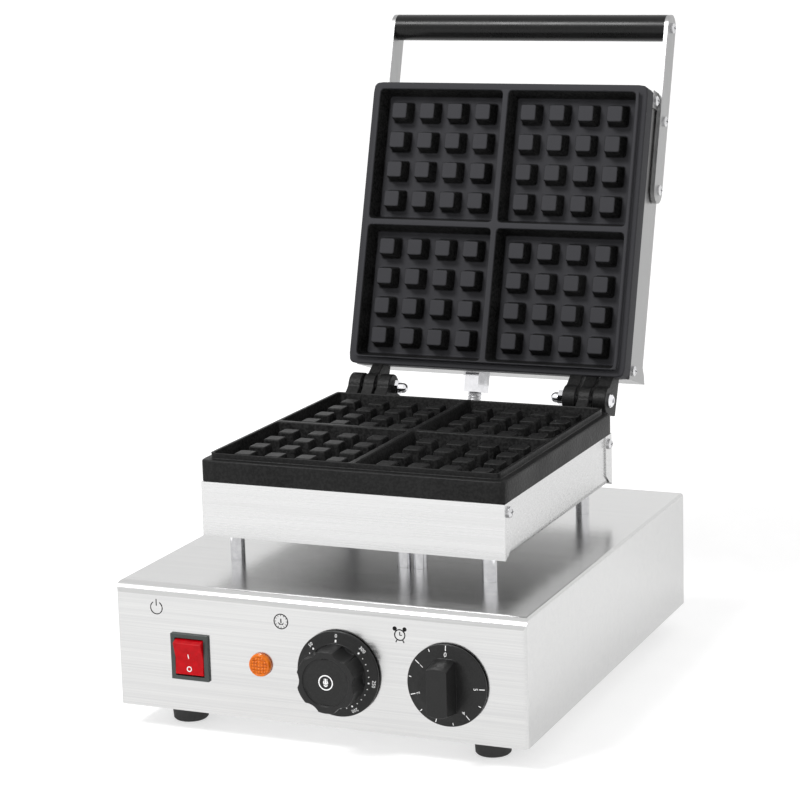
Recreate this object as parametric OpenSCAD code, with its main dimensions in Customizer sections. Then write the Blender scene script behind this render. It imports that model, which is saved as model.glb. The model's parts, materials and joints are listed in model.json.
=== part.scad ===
// Countertop waffle maker: a sheet-steel base housing with a control panel, a heated
// lower box on four posts, and a heated lid that swings back on two bolted hinges.
// X is the width, Y runs from the control panel to the back, Z is up from the floor.
// The lid stands open, resting on its hinge stops.

/* [Base housing] */
// Width of the base housing
base_w = 290; // [270:1:350]
// Depth of the base housing
base_d = 334; // [320:1:420]
// Height of the base housing's sides
base_h = 84.5; // [78:0.5:110]
// Sheet thickness of the base housing
base_t = 1.5; // [1:0.1:2]
// Outer radius of the bend between control panel and top
panel_bend_r = 8; // [4:0.5:12]
// Outer radius of the housing's other bends
edge_bend_r = 2.4; // [2.1:0.1:4]
// Width of the flanges turned in round the bottom and the back
flange_w = 11; // [9:0.5:14]
// Thickness of the bottom and back plates
plate_t = 1; // [0.8:0.1:1.5]

/* [Feet] */
// Height of the rubber feet
foot_h = 15; // [10:0.5:24]
// Largest diameter of a foot
foot_d = 25; // [22:1:36]
// Distance of a foot's centre from the housing's side
foot_side = 35.5; // [24:0.5:60]
// Distance of a foot's centre from the housing's front and back
foot_end = 31; // [24:1:70]

/* [Control panel] */
// Height of the controls' centres above the housing's bottom edge
panel_z = 37.5; // [36:0.5:42]
// Place of the rocker switch across the panel
switch_x = -91; // [-100:0.5:-80]
// Place of the signal lamp across the panel
lamp_x = -39.5; // [-46:0.5:-34]
// Place of the thermostat knob across the panel
thermostat_x = 16.5; // [12:0.5:22]
// Place of the timer knob across the panel
timer_x = 92; // [84:0.5:96]
// Diameter of the thermostat knob's dial
thermostat_dial_d = 57; // [50:0.5:60]
// Diameter of the thermostat knob's fluted grip
thermostat_grip_d = 41; // [36:0.5:46]
// How far the thermostat knob stands out of the panel
thermostat_reach = 22; // [18:0.5:26]
// Diameter of the timer knob's dial
timer_dial_d = 54; // [48:0.5:60]
// Width of the timer knob's bar grip
timer_bar_w = 14; // [11:0.5:16]
// Length of the timer knob's bar grip
timer_bar_l = 36; // [34:0.5:46]
// How far the timer knob stands out of the panel
timer_reach = 20; // [16:0.5:22]
// Diameter of the signal lamp's lens
lamp_d = 15.6; // [14.5:0.1:20]
// Width of the switch's bezel
bezel_w = 27.3; // [26:0.1:32]
// Height of the switch's bezel
bezel_h = 31.2; // [30:0.1:36]

/* [Posts and tubes] */
// Gap between the base housing and the lower box
gap_h = 19; // [12:0.5:40]
// Diameter of the four support posts
post_d = 10; // [9:0.5:16]
// Distance of a post from the lower box's middle, in X and in Y
post_off = 92; // [80:1:96]
// Diameter of the two wire tubes
tube_d = 9.5; // [8:0.5:11]
// Place of the wire tubes' pair across the base
tube_x = 30.3; // [24:0.5:50]
// Spacing of the two wire tubes
tube_pitch = 11.5; // [11.5:0.5:16]
// Distance of the wire tubes in front of the lower box's middle
tube_front = 76; // [50:1:80]

/* [Heated boxes] */
// How far a box's sides stand in from the waffle plate's sides
box_set_in = 0.5; // [0.2:0.1:2]
// Height of a box behind its waffle plate
box_h = 37.5; // [36:0.5:50]
// Sheet thickness of the boxes
box_t = 1; // [0.8:0.1:1.2]
// Outer radius of the tray's long bends
tray_bend_r = 5; // [3:0.5:8]
// Width of the end panels' side flanges
end_flange_w = 13; // [11:0.5:16]

/* [Waffle plates] */
// Width of a waffle plate
cast_w = 220; // [216:0.5:252]
// Depth of a waffle plate
cast_d = 217; // [213:0.5:252]
// Height of a plate's block below the shoulder
block_h = 15; // [13:0.5:22]
// Height of the raised rim above the shoulder
rim_h = 4.1; // [3:0.1:6]
// Width of the shoulder round the rim
shoulder_w = 5.1; // [4:0.1:8]
// Gap between the two rims when the lid is shut
rim_gap = 1; // [0.6:0.1:3]
// Width of a waffle pocket at the rim
pocket_w = 100.5; // [96:0.5:101]
// Distance of a pocket's centre from the plate's middle
pocket_off = 52.3; // [52:0.1:53]
// Depth of a pocket below the rim
pocket_deep = 14; // [10:0.5:15]
// How much narrower a pocket's floor is on each side
pocket_draft = 3.4; // [1:0.1:5]
// Pitch of the knobs in a pocket
knob_pitch = 22.65; // [20:0.05:23]
// Width of a knob's top
knob_top_w = 12; // [9:0.5:13]
// Width of a knob's foot
knob_foot_w = 15.6; // [13.5:0.1:17]
// Height of the knobs
knob_h = 11.7; // [6:0.1:13]

/* [Lid and hinges] */
// How far the open lid leans back from upright
lid_lean = 17.2; // [8:0.1:25]
// Distance of the hinge axis behind a waffle plate
hinge_set = 17.4; // [16:0.1:22]
// Outer radius of a hinge ear
ear_r = 10; // [9:0.1:11]
// Distance of a hinge's middle from the object's middle
hinge_x = 85.3; // [70:0.1:88]
// Width of each of the two outer ears of a hinge
outer_ear_w = 10; // [8:0.5:12]
// Width of the middle ear of a hinge
middle_ear_w = 9; // [7:0.5:12]
// Sideways gap between hinge ears
ear_gap = 2.2; // [0.4:0.1:2.6]
// Shank diameter of the hinge bolts
hinge_bolt_d = 6; // [5:0.5:8]
// Running clearance round a hinge bolt, on the radius
hinge_play = 0.05; // [0.02:0.01:0.1]

/* [Handle] */
// Distance of the handle bar's axis from the hinge axis
grip_s = 285.6; // [270:0.2:310]
// Gap between the handle arms and the heads of the panel screws beside them
arm_gap = 2; // [0.4:0.1:3]
// Diameter of the handle bar
grip_d = 20; // [16:0.5:26]
// Width of the handle arms
arm_w = 20; // [16:0.5:22]
// Thickness of the handle arms
arm_t = 3; // [2:0.25:4]
// Distance of the lower arm screw from the hinge axis
arm_low_s = 162.5; // [120:0.5:180]
// Distance of the upper arm screw from the hinge axis
arm_high_s = 214.5; // [200:0.5:222]

/* [Wiring conduit] */
// Outer diameter of the conduit between the two boxes
conduit_d = 10.5; // [7:0.5:11]
// Place of the conduit across the object
conduit_x = -18; // [-50:1:50]
// Distance across the flats of the conduit's hexagonal fittings
fitting_af = 18.5; // [16:0.5:20]

/* [Hidden] */

// Smoothness of the round surfaces
$fn = 64;
// Overlap that keeps cuts and joins clean
eps = 0.5;
// Clearance between sheets and pieces that lie against each other
sheet_play = 0.05;
// Clearance round screws and pieces that pass through a sheet, on the radius
hole_play = 0.2;
// Clearance of a screw in its thread, on the radius
thread_play = 0.05;

// Screws and their heads
m4_r = 2;
m5_r = 2.5;
m6_r = 3;
pan_head_r = 3.8;
pan_head_h = 2.5;
hex_head_r = 5.6;
hex_head_h = 4;
panel_screw_in = 7;
panel_screw_down = 6.4;

// Heights and places along the depth
housing_z = foot_h + plate_t;
base_top_z = housing_z + base_h;
box_w = cast_w - 2 * box_set_in;
box_d = cast_d - 2 * box_set_in;
hinge_z = base_top_z + gap_h + box_h + block_h + rim_h + rim_gap / 2;
open_angle = 90 + lid_lean;
grip_h = rim_gap / 2 + rim_h + block_h + panel_screw_down + pan_head_r + arm_gap + arm_w / 2;
rear_overhang = grip_s * sin(lid_lean) + grip_h * cos(lid_lean) + arm_w / 2;
hinge_from_front = base_d / 2 + cast_d / 2 + hinge_set;
knob_reach = max(thermostat_reach, timer_reach);
front_y = knob_reach - (knob_reach + hinge_from_front + rear_overhang) / 2;
hinge_y = front_y + hinge_from_front;
mid_y = front_y + base_d / 2;
control_z = housing_z + panel_z;

// Waffle plate and box, seen from the hinge axis with the plate's face up
rim_z = -rim_gap / 2;
shoulder_z = rim_z - rim_h;
under_z = shoulder_z - block_h;
tray_z = under_z - box_h;
cast_rear = -hinge_set;
cast_mid = -hinge_set - cast_d / 2;
box_rear = cast_rear - box_set_in;
box_front = box_rear - box_d;
outer_ear_off = middle_ear_w / 2 + ear_gap + outer_ear_w / 2;
hinge_half = outer_ear_off + outer_ear_w / 2;

thread_deep = 6;
screw_corner = 12;

// Sizes of the inner pieces
tray_lip_w = 10;
lip_x = box_w / 2 - 2 * box_t - sheet_play - tray_lip_w / 2;
plate_screw_off = 70;
heater_r = 3.5;
heater_run = 22;
heater_half = 74;
clamp_t = 1.5;
clamp_w = 178;
clamp_screw_off = 80;
heater_gap = 0.05;
boss_r = 6;
boss_h = 2 * (heater_r + heater_gap);
boss_deep = 3;
insulation_gap = 1;
post_bolt_l = 8;
foot_screw_off = 6;
fitting_l = 15;
fitting_nut_l = 5;
fitting_thread_r = 6;
gland_r = 8;
gland_x = 95;
gland_z = 24;
terminal_size = [48, 22, 24];
terminal_at = [88, 272];
bulb_r = 3;
bulb_l = 90;
capillary_r = 1;
shaft_r = 3;
knob_back = 0.8;
knob_relief = 2.6;
knob_hub_r = 5;
relief_r = 18;
rocker_tilt = 7;

// ---------- small shapes ----------

// Waste outside a rounded edge that runs along Z, with the material in +x and +y
module edge_waste(r, l) {
  linear_extrude(l) difference() {
    translate([-1, -1]) square(r + 1);
    translate([r, r]) circle(r);
  }
}

// The same for an edge along X, with the material in +y and -z
module edge_waste_x(r, l) {
  rotate([90, 0, 90]) mirror([0, 1, 0]) edge_waste(r, l);
}

// The same for an edge along Y, with the material in +x and -z
module edge_waste_y(r, l) {
  rotate([90, 0, 0]) mirror([0, 1, 0]) edge_waste(r, l);
}

// Copies at plus and minus x
module both_sides(x) {
  for (s = [-1, 1]) translate([s * x, 0, 0]) children();
}

// Copies at the four corners of a rectangle
module four(x, y) {
  for (sx = [-1, 1], sy = [-1, 1]) translate([sx * x, sy * y, 0]) children();
}

// Cylinder along X from its centre
module rod_x(r, l) {
  rotate([0, 90, 0]) cylinder(r = r, h = l, center = true);
}

// Cylinder along +Y from y = 0
module rod_y(r, l) {
  rotate([-90, 0, 0]) cylinder(r = r, h = l);
}

// Hexagonal prism along Z with its flats across af
module hex(af, l) {
  cylinder(d = af / cos(30), h = l, $fn = 6);
}

// Pan-head screw that points down from z = 0, with a cross recess in its head
module pan_screw(r, l) {
  difference() {
    union() {
      cylinder(r = pan_head_r, h = pan_head_h * 0.6);
      translate([0, 0, pan_head_h * 0.6])
        cylinder(r1 = pan_head_r, r2 = pan_head_r * 0.6, h = pan_head_h * 0.4);
      translate([0, 0, -l]) cylinder(r = r, h = l + eps);
    }
    for (a = [0, 90]) rotate([0, 0, a])
      translate([-pan_head_r * 0.55, -0.5, pan_head_h - 1.3]) cube([pan_head_r * 1.1, 1, 2]);
  }
}

// Hexagon-head screw that points up from z = 0, its head below
module hex_bolt(r, l) {
  translate([0, 0, -hex_head_h]) cylinder(r = hex_head_r, h = hex_head_h, $fn = 6);
  translate([0, 0, -eps]) cylinder(r = r, h = l + eps);
}

// Block with drafted sides: half sizes at the bottom and at the top
module drafted(half_low, half_high, z_low, z_high) {
  function ring(h, z) = [[-h, -h, z], [h, -h, z], [h, h, z], [-h, h, z]];
  polyhedron(
    points = concat(ring(half_low, z_low), ring(half_high, z_high)),
    faces = [[0, 1, 2, 3], [4, 7, 6, 5], [0, 4, 5, 1], [1, 5, 6, 2], [2, 6, 7, 3], [3, 7, 4, 0]]
  );
}

// Tube or rod that follows points in the plane x = 0, given as [y, z]
module swept(path, r, sides = 8) {
  n = len(path);
  function heading(i) = path[min(i + 1, n - 1)] - path[max(i - 1, 0)];
  function across(i) = let (t = heading(i)) [-t[1], t[0]] / norm(t);
  function ring(i) = [for (k = [0:sides - 1]) let (a = 360 * k / sides)
    [r * cos(a), path[i][0] + r * sin(a) * across(i)[0], path[i][1] + r * sin(a) * across(i)[1]]];
  polyhedron(
    points = [for (i = [0:n - 1]) each ring(i)],
    faces = concat(
      [[for (k = [0:sides - 1]) sides - 1 - k]],
      [[for (k = [0:sides - 1]) (n - 1) * sides + k]],
      [for (i = [0:n - 2], k = [0:sides - 1]) let (a = i * sides, b = (k + 1) % sides)
        [a + k, a + b, a + sides + b, a + sides + k]])
  );
}

// ---------- places ----------

// From the hinge axis, plate face up: the lower box
module on_base() {
  translate([0, hinge_y, hinge_z]) children();
}

// From the hinge axis, plate face up: the same pieces turned over into the open lid
module on_lid() {
  translate([0, hinge_y, hinge_z]) rotate([-open_angle, 0, 0]) rotate([0, 180, 0]) children();
}

// At the front of the control panel, y = 0 on its outer face
module on_panel(x) {
  translate([x, front_y, control_z]) children();
}

// At the middle of the lower box, on the base housing's top
module on_top() {
  translate([0, mid_y, base_top_z]) children();
}

module at_posts() {
  four(post_off, post_off) children();
}

module at_tubes() {
  for (s = [-0.5, 0.5]) translate([tube_x + s * tube_pitch, -tube_front, 0]) children();
}

module at_feet() {
  translate([0, mid_y, 0]) four(base_w / 2 - foot_side, base_d / 2 - foot_end) children();
}

// Control fixing screws: thermostat above and below its shaft, timer to the left and right
module at_control_screws() {
  for (s = [-1, 1]) on_panel(thermostat_x) translate([0, 0, s * 14]) children();
  for (s = [-1, 1]) on_panel(timer_x) translate([s * 14, 0, 0]) children();
}

// Screws round the bottom plate
module at_bottom_screws() {
  translate([0, mid_y, housing_z])
    for (x = [-1, 1], y = [-1, 0, 1])
      translate([x * (base_w / 2 - base_t - foot_screw_off), y * (base_d / 2 - 60), 0]) children();
}

// Screws round the back panel
module at_back_screws() {
  translate([0, front_y + base_d, housing_z])
    for (x = [-1, 1], z = [screw_corner, base_h - base_t - screw_corner])
      translate([x * (base_w / 2 - base_t - foot_screw_off), 0, z]) children();
}

// Screws of a box's end panels, pointing along x into the tray's sides
module at_panel_screws() {
  for (s = [-1, 1], y = [box_front + panel_screw_in, box_rear - panel_screw_in])
    translate([s * box_w / 2, y, under_z - panel_screw_down]) rotate([0, s * 90, 0]) children();
}

// Screws that hold a waffle plate to its tray
module at_plate_screws() {
  translate([0, cast_mid, under_z - box_t - sheet_play])
    four(lip_x, plate_screw_off) children();
}

// Screws that hold a heater clamp to its waffle plate
module at_clamp_screws() {
  translate([0, cast_mid, under_z - 2 * (heater_r + heater_gap) - clamp_t])
    four(clamp_screw_off, clamp_screw_off) children();
}

// Screws of the handle arms, on the outer faces of the arms
module at_arm_screws() {
  for (s = [-1, 1], y = [arm_low_s, arm_high_s])
    translate([s * (box_w / 2 + sheet_play + arm_t), -y, -grip_h]) rotate([0, s * 90, 0]) children();
}

// ---------- base housing ----------

module housing_block(inset, h) {
  w = base_w - 2 * inset;
  d = base_d - 2 * inset;
  r = edge_bend_r - inset;
  translate([0, front_y + inset, housing_z + inset]) difference() {
    translate([-w / 2, 0, 0]) cube([w, d, h - 2 * inset]);
    translate([-w / 2 - 1, 0, h - 2 * inset]) edge_waste_x(panel_bend_r - inset, w + 2);
    for (m = [0, 1]) mirror([m, 0, 0]) {
      translate([-w / 2, d + 1, h - 2 * inset]) edge_waste_y(r, d + 2);
      translate([-w / 2, 0, -1]) edge_waste(r, h + 2);
    }
  }
}

module base_shell() {
  color("silver") difference() {
    housing_block(0, base_h);
    difference() {
      housing_block(base_t, base_h);
      translate([-base_w, front_y + base_d - base_t - plate_t - sheet_play, 0])
        cube([2 * base_w, base_t * 3, base_top_z * 2]);
    }
    // openings of the bottom and the back inside their flanges
    translate([-base_w / 2 + base_t + flange_w, front_y + base_t + flange_w, housing_z - eps])
      cube([base_w - 2 * (base_t + flange_w), base_d - 2 * (base_t + flange_w), base_t + 2 * eps]);
    translate([-base_w / 2 + base_t + flange_w, front_y + base_d - 3 * base_t, housing_z + base_t])
      cube([base_w - 2 * (base_t + flange_w), 4 * base_t, base_h - 2 * base_t - flange_w]);
    // rebate of the back panel
    translate([-base_w / 2 + base_t, front_y + base_d - plate_t - sheet_play, housing_z + base_t])
      cube([base_w - 2 * base_t, plate_t * 3, base_h - 2 * base_t]);
    panel_cutouts();
    on_top() {
      at_posts() translate([0, 0, -3 * base_t]) cylinder(r = m6_r + hole_play, h = 6 * base_t);
      at_tubes() translate([0, 0, -3 * base_t]) cylinder(r = tube_d / 2 + hole_play, h = 6 * base_t);
    }
    at_bottom_screws() cylinder(r = m4_r + thread_play, h = 4 * base_t, center = true);
    at_back_screws() rotate([90, 0, 0]) cylinder(r = m4_r + thread_play, h = 12 * base_t, center = true);
  }
}

// Holes of the control panel
module panel_cutouts() {
  through = 4 * base_t;
  on_panel(switch_x) translate([-switch_body_w() / 2 - hole_play, -base_t, -switch_body_h() / 2 - hole_play])
    cube([switch_body_w() + 2 * hole_play, through, switch_body_h() + 2 * hole_play]);
  on_panel(lamp_x) translate([0, -base_t, 0]) rod_y(lamp_neck_r() + hole_play, through);
  on_panel(thermostat_x) translate([0, -base_t, 0]) rod_y(control_boss_r + hole_play, through);
  on_panel(timer_x) translate([0, -base_t, 0]) rod_y(control_boss_r + hole_play, through);
  at_control_screws() translate([0, -base_t, 0]) rod_y(m4_r + hole_play, through);
}

control_boss_r = 4.5;
function switch_body_w() = bezel_w - 2.3;
function switch_body_h() = bezel_h - 2.6;
function lamp_neck_r() = lamp_d / 2 - 1.6;

// Back panel with three rows of ventilation slots and the hole of the cable gland
module back_panel() {
  w = base_w - 2 * (base_t + sheet_play);
  h = base_h - 2 * (base_t + sheet_play);
  slot_w = 26;
  color("silver") difference() {
    translate([-w / 2, front_y + base_d - plate_t, housing_z + base_t + sheet_play]) cube([w, plate_t, h]);
    for (x = [-2:1], z = [0:3])
      translate([x * 34 - slot_w / 2 - 8, front_y + base_d - 3 * plate_t, housing_z + 26 + z * 11])
        cube([slot_w, 6 * plate_t, 3]);
    at_back_screws() rotate([90, 0, 0]) cylinder(r = m4_r + hole_play, h = 12 * base_t, center = true);
    translate([gland_x, front_y + base_d + 5, housing_z + gland_z])
      rotate([90, 0, 0]) cylinder(r = gland_r + hole_play, h = 10);
  }
}

module back_panel_screws() {
  color("gainsboro") at_back_screws() translate([0, sheet_play, 0]) rotate([-90, 0, 0]) pan_screw(m4_r, 7);
}

// Bottom plate with ventilation slots
module bottom_plate() {
  w = base_w - 2 * edge_bend_r;
  d = base_d - 2 * edge_bend_r;
  slot_l = 60;
  color("lightgray") difference() {
    translate([-w / 2, mid_y - d / 2, foot_h - sheet_play]) cube([w, d, plate_t]);
    for (x = [-1, 1], i = [-3:3])
      translate([x * 50 - slot_l / 2, mid_y + i * 14 - 2, foot_h - plate_t]) cube([slot_l, 4, 3 * plate_t]);
    at_bottom_screws() cylinder(r = m4_r + hole_play, h = 8 * base_t, center = true);
    at_feet() cylinder(r = m4_r + hole_play, h = 2 * foot_h);
  }
}

module bottom_plate_screws() {
  color("gainsboro") at_bottom_screws()
    translate([0, 0, -plate_t - 2 * sheet_play]) rotate([180, 0, 0]) pan_screw(m4_r, 7);
}

// Rubber feet with a pocket for the screw's head
module feet() {
  r = foot_d / 2;
  color([0.08, 0.08, 0.08]) at_feet() difference() {
    rotate_extrude() polygon([[0, 0], [r - 1.8, 0], [r - 0.8, 1], [r, foot_h - 4],
      [r, foot_h - 2 * sheet_play], [0, foot_h - 2 * sheet_play]]);
    translate([0, 0, -eps]) cylinder(r = pan_head_r + 1.5, h = foot_h - 4 + eps);
    cylinder(r = m4_r + hole_play, h = foot_h + 1);
  }
}

module foot_screws() {
  color("gainsboro") at_feet()
    translate([0, 0, foot_h - 4 - sheet_play]) rotate([180, 0, 0]) pan_screw(m4_r, 9);
}

// ---------- posts, tubes and the mains entry ----------

module support_posts() {
  color("whitesmoke") on_top() at_posts() difference() {
    translate([0, 0, sheet_play]) cylinder(d = post_d, h = gap_h - 2 * sheet_play);
    cylinder(r = m6_r + thread_play, h = gap_h);
  }
}

module base_post_bolts() {
  color("gainsboro") on_top() at_posts() translate([0, 0, -base_t - sheet_play]) hex_bolt(m6_r, post_bolt_l);
}

module box_post_bolts() {
  color("gainsboro") on_top() at_posts() translate([0, 0, gap_h + box_t + sheet_play])
    mirror([0, 0, 1]) hex_bolt(m6_r, post_bolt_l);
}

module wire_tubes() {
  color("whitesmoke") on_top() at_tubes() difference() {
    translate([0, 0, -8]) cylinder(d = tube_d, h = gap_h + 16);
    translate([0, 0, -9]) cylinder(d = tube_d - 2, h = gap_h + 18);
  }
}

// Locknuts inside the base housing and inside the lower box
module wire_tube_nuts() {
  nut_t = 4;
  color("gainsboro") on_top() at_tubes()
    for (z = [-base_t - sheet_play - nut_t, gap_h + box_t + sheet_play]) translate([0, 0, z]) difference() {
      cylinder(d = tube_pitch - 0.4, h = nut_t);
      translate([0, 0, -eps]) cylinder(r = tube_d / 2 + thread_play, h = nut_t + 2 * eps);
    }
}

// Gland of the mains lead: flange, threaded neck and domed cap, bored through
module cable_gland() {
  color([0.1, 0.1, 0.1]) translate([gland_x, front_y + base_d + sheet_play, housing_z + gland_z])
    difference() {
      union() {
        rotate([-90, 0, 0]) hex(22, 5);
        translate([0, 5 - eps, 0]) rod_y(9, 9 + eps);
        translate([0, -12, 0]) rod_y(gland_r, 12 + eps);
      }
      translate([0, -15, 0]) rod_y(4, 40);
    }
}

module cable_gland_nut() {
  color([0.1, 0.1, 0.1])
    translate([gland_x, front_y + base_d - plate_t - sheet_play - 5, housing_z + gland_z]) difference() {
      rotate([-90, 0, 0]) hex(22, 5);
      translate([0, -1, 0]) rod_y(gland_r + thread_play, 7);
    }
}

// Three-pole terminal block, standing on the bottom flange line of the housing
module terminal_block() {
  color("ivory") translate([terminal_at[0] - terminal_size[0] / 2, front_y + terminal_at[1], foot_h + plate_t])
    difference() {
      cube(terminal_size);
      for (i = [0:2]) translate([8 + 16 * i, 0, terminal_size[2] / 2]) {
        translate([0, -1, 0]) rod_y(3, terminal_size[1] + 2);
        for (y = [6, terminal_size[1] - 6]) translate([0, y, 0]) cylinder(r = 2.2, h = terminal_size[2]);
      }
    }
}

// ---------- controls ----------

rocker_r = bezel_h / 2 - 3.1;
rocker_pivot_y = 2;
bezel_t = 2;
rocker_pin_r = 1.2;

// Snap-in housing of the rocker switch with its bezel and three spade terminals
module switch_housing() {
  bw = switch_body_w();
  bh = switch_body_h();
  color([0.16, 0.18, 0.17]) on_panel(switch_x) {
    difference() {
      union() {
        translate([-bezel_w / 2, -bezel_t, -bezel_h / 2]) cube([bezel_w, bezel_t - sheet_play, bezel_h]);
        translate([-bw / 2, -bezel_t, -bh / 2]) cube([bw, 26, bh]);
      }
      translate([-bw / 2 + 2, -2 * bezel_t, -rocker_r - 0.35])
        cube([bw - 4, 18, 2 * rocker_r + 0.7]);
      translate([0, rocker_pivot_y, 0]) rod_x(rocker_pin_r + hinge_play, bw - 2);
    }
    for (z = [-8, 0, 8]) translate([-3.2, 24 - eps, z - 0.4]) cube([6.4, 9, 0.8]);
  }
}

// Rocker with two slanting faces, shown with its lower end pressed in
module switch_rocker() {
  bw = switch_body_w();
  out = 4.3;
  color([0.75, 0.05, 0.05]) on_panel(switch_x) translate([0, rocker_pivot_y, 0]) rotate([rocker_tilt, 0, 0]) {
    difference() {
      rotate([90, 0, 90]) translate([0, 0, -bw / 2 + 2.2]) linear_extrude(bw - 4.4) intersection() {
        circle(rocker_r);
        polygon([[-out - 2.2, -rocker_r], [-out, 0], [-out - 2.2, rocker_r],
          [3, rocker_r], [8, 5], [8, -5], [3, -rocker_r]]);
      }
      translate([-bw / 2 + 4, 0, -6]) cube([bw - 8, 12, 12]);
    }
    rod_x(rocker_pin_r, bw - 2.4);
  }
}

// Domed lens of the signal lamp
module lamp_lens() {
  r = lamp_d / 2;
  color([1, 0.5, 0.05]) on_panel(lamp_x) rotate([90, 0, 0]) rotate_extrude()
    polygon(concat([[0, sheet_play], [r, sheet_play], [r, 1.2]],
      [for (a = [10:10:80]) [(r - 0.6) * cos(a), 1.2 + 3 * sin(a)]], [[0, 4.2]]));
}

module lamp_body() {
  color("dimgray") on_panel(lamp_x) rod_y(lamp_neck_r(), 24);
}

module lamp_nut() {
  color("dimgray") on_panel(lamp_x) translate([0, base_t + sheet_play, 0]) difference() {
    rod_y(lamp_d / 2 + 1, 3);
    translate([0, -1, 0]) rod_y(lamp_neck_r() + thread_play, 5);
  }
}

// Capillary thermostat: threaded boss, steel body, and spade terminals at its back
module thermostat_body() {
  color("darkgray") on_panel(thermostat_x) difference() {
    union() {
      translate([-21, base_t + sheet_play, -19]) cube([42, 22, 38]);
      rod_y(control_boss_r, 6);
      for (x = [-12, 12], z = [-8, 8])
        translate([x - 3.2, base_t + 22 - eps, z - 0.4]) cube([6.4, 9, 0.8]);
    }
    translate([0, -1, 0]) rod_y(shaft_r + hinge_play, 15);
    for (s = [-1, 1]) translate([0, 0, s * 14]) rod_y(m4_r + thread_play, 8);
  }
}

module thermostat_shaft() {
  color("gainsboro") on_panel(thermostat_x) translate([0, -14, 0]) rod_y(shaft_r, 26);
}

// Bulb under the lower heater clamp, with the capillary that joins it to the thermostat
module thermostat_bulb() {
  bulb_z = hinge_z + under_z - boss_h - clamp_t - bulb_r - heater_gap;
  bulb_x = tube_x - tube_pitch / 2;
  tube_y = mid_y - tube_front;
  rise_z = control_z + 13;
  color("peru") {
    translate([bulb_x, tube_y + 12, bulb_z]) rod_y(bulb_r, bulb_l);
    translate([bulb_x, 0, 0]) swept([
      [front_y + base_t + 22 + 2 * sheet_play, rise_z], [front_y + base_t + 34, rise_z],
      [tube_y - 14, rise_z], [tube_y - 5, rise_z + 4], [tube_y, rise_z + 14],
      [tube_y, bulb_z - 12], [tube_y + 2, bulb_z - 6], [tube_y + 6, bulb_z - 1],
      [tube_y + 12.2, bulb_z]], capillary_r);
  }
}

// Hollow under a knob's dial, round its hub, that clears the heads of the control screws
module knob_underside() {
  translate([0, 0, -1]) difference() {
    cylinder(r = relief_r, h = knob_relief + 1);
    translate([0, 0, -1]) cylinder(r = knob_hub_r, h = knob_relief + 3);
  }
}

// Thermostat knob: flat dial, fluted grip with a dished face, blind bore for the shaft
module thermostat_knob() {
  grip_r = thermostat_grip_d / 2;
  flutes = 6;
  color([0.07, 0.07, 0.07]) on_panel(thermostat_x) rotate([90, 0, 0]) difference() {
    union() {
      translate([0, 0, knob_back]) cylinder(d = thermostat_dial_d, h = 2.4);
      translate([0, 0, knob_back + 2.4 - eps])
        cylinder(r1 = thermostat_dial_d / 2 - 0.4, r2 = grip_r, h = 1.6 + eps);
      translate([0, 0, knob_back]) cylinder(r = grip_r, h = thermostat_reach - knob_back);
    }
    for (i = [0:flutes - 1]) rotate([0, 0, i * 360 / flutes])
      translate([grip_r + 8, 0, 5]) cylinder(r = 10, h = thermostat_reach);
    translate([0, 0, thermostat_reach - 1]) cylinder(r = grip_r - 4.5, h = 2);
    cylinder(r = shaft_r + thread_play, h = 14.5);
    knob_underside();
  }
}

// Mechanical timer: threaded boss, clockwork case and terminals
module timer_body() {
  color("darkgray") on_panel(timer_x) difference() {
    union() {
      translate([-22, base_t + sheet_play, -22]) cube([44, 28, 44]);
      rod_y(control_boss_r, 6);
      for (x = [-10, 10]) translate([x - 3.2, base_t + 28 - eps, -0.4]) cube([6.4, 9, 0.8]);
    }
    translate([0, -1, 0]) rod_y(shaft_r + hinge_play, 15);
    for (s = [-1, 1]) translate([s * 14, 0, 0]) rod_y(m4_r + thread_play, 8);
  }
}

module timer_shaft() {
  color("gainsboro") on_panel(timer_x) translate([0, -12, 0]) rod_y(shaft_r, 24);
}

// Timer knob: flat dial with an upright bar grip
module timer_knob() {
  color([0.07, 0.07, 0.07]) on_panel(timer_x) rotate([90, 0, 0]) difference() {
    union() {
      translate([0, 0, knob_back]) cylinder(d = timer_dial_d, h = 2.2);
      translate([0, 0, knob_back + 2.2 - eps])
        cylinder(r1 = timer_dial_d / 2 - 0.3, r2 = timer_bar_l / 2 + 1, h = 1.4 + eps);
      intersection() {
        translate([-timer_bar_w / 2, -timer_bar_l / 2, knob_back])
          cube([timer_bar_w, timer_bar_l, timer_reach - knob_back]);
        translate([0, 0, knob_back]) cylinder(r1 = timer_bar_l / 2 + 1, r2 = timer_bar_l / 2 - 2, h = timer_reach);
      }
    }
    cylinder(r = shaft_r + thread_play, h = 12.5);
    knob_underside();
  }
}

module control_screws() {
  color("gainsboro") at_control_screws() translate([0, -sheet_play, 0]) rotate([90, 0, 0])
    difference() {
      union() {
        cylinder(r = 3.4, h = 2.2);
        translate([0, 0, -6]) cylinder(r = m4_r, h = 6.5);
      }
      translate([-3, -0.4, 1.2]) cube([6, 0.8, 2]);
    }
}

// ---------- heated boxes, made once and used for base and lid ----------

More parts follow.
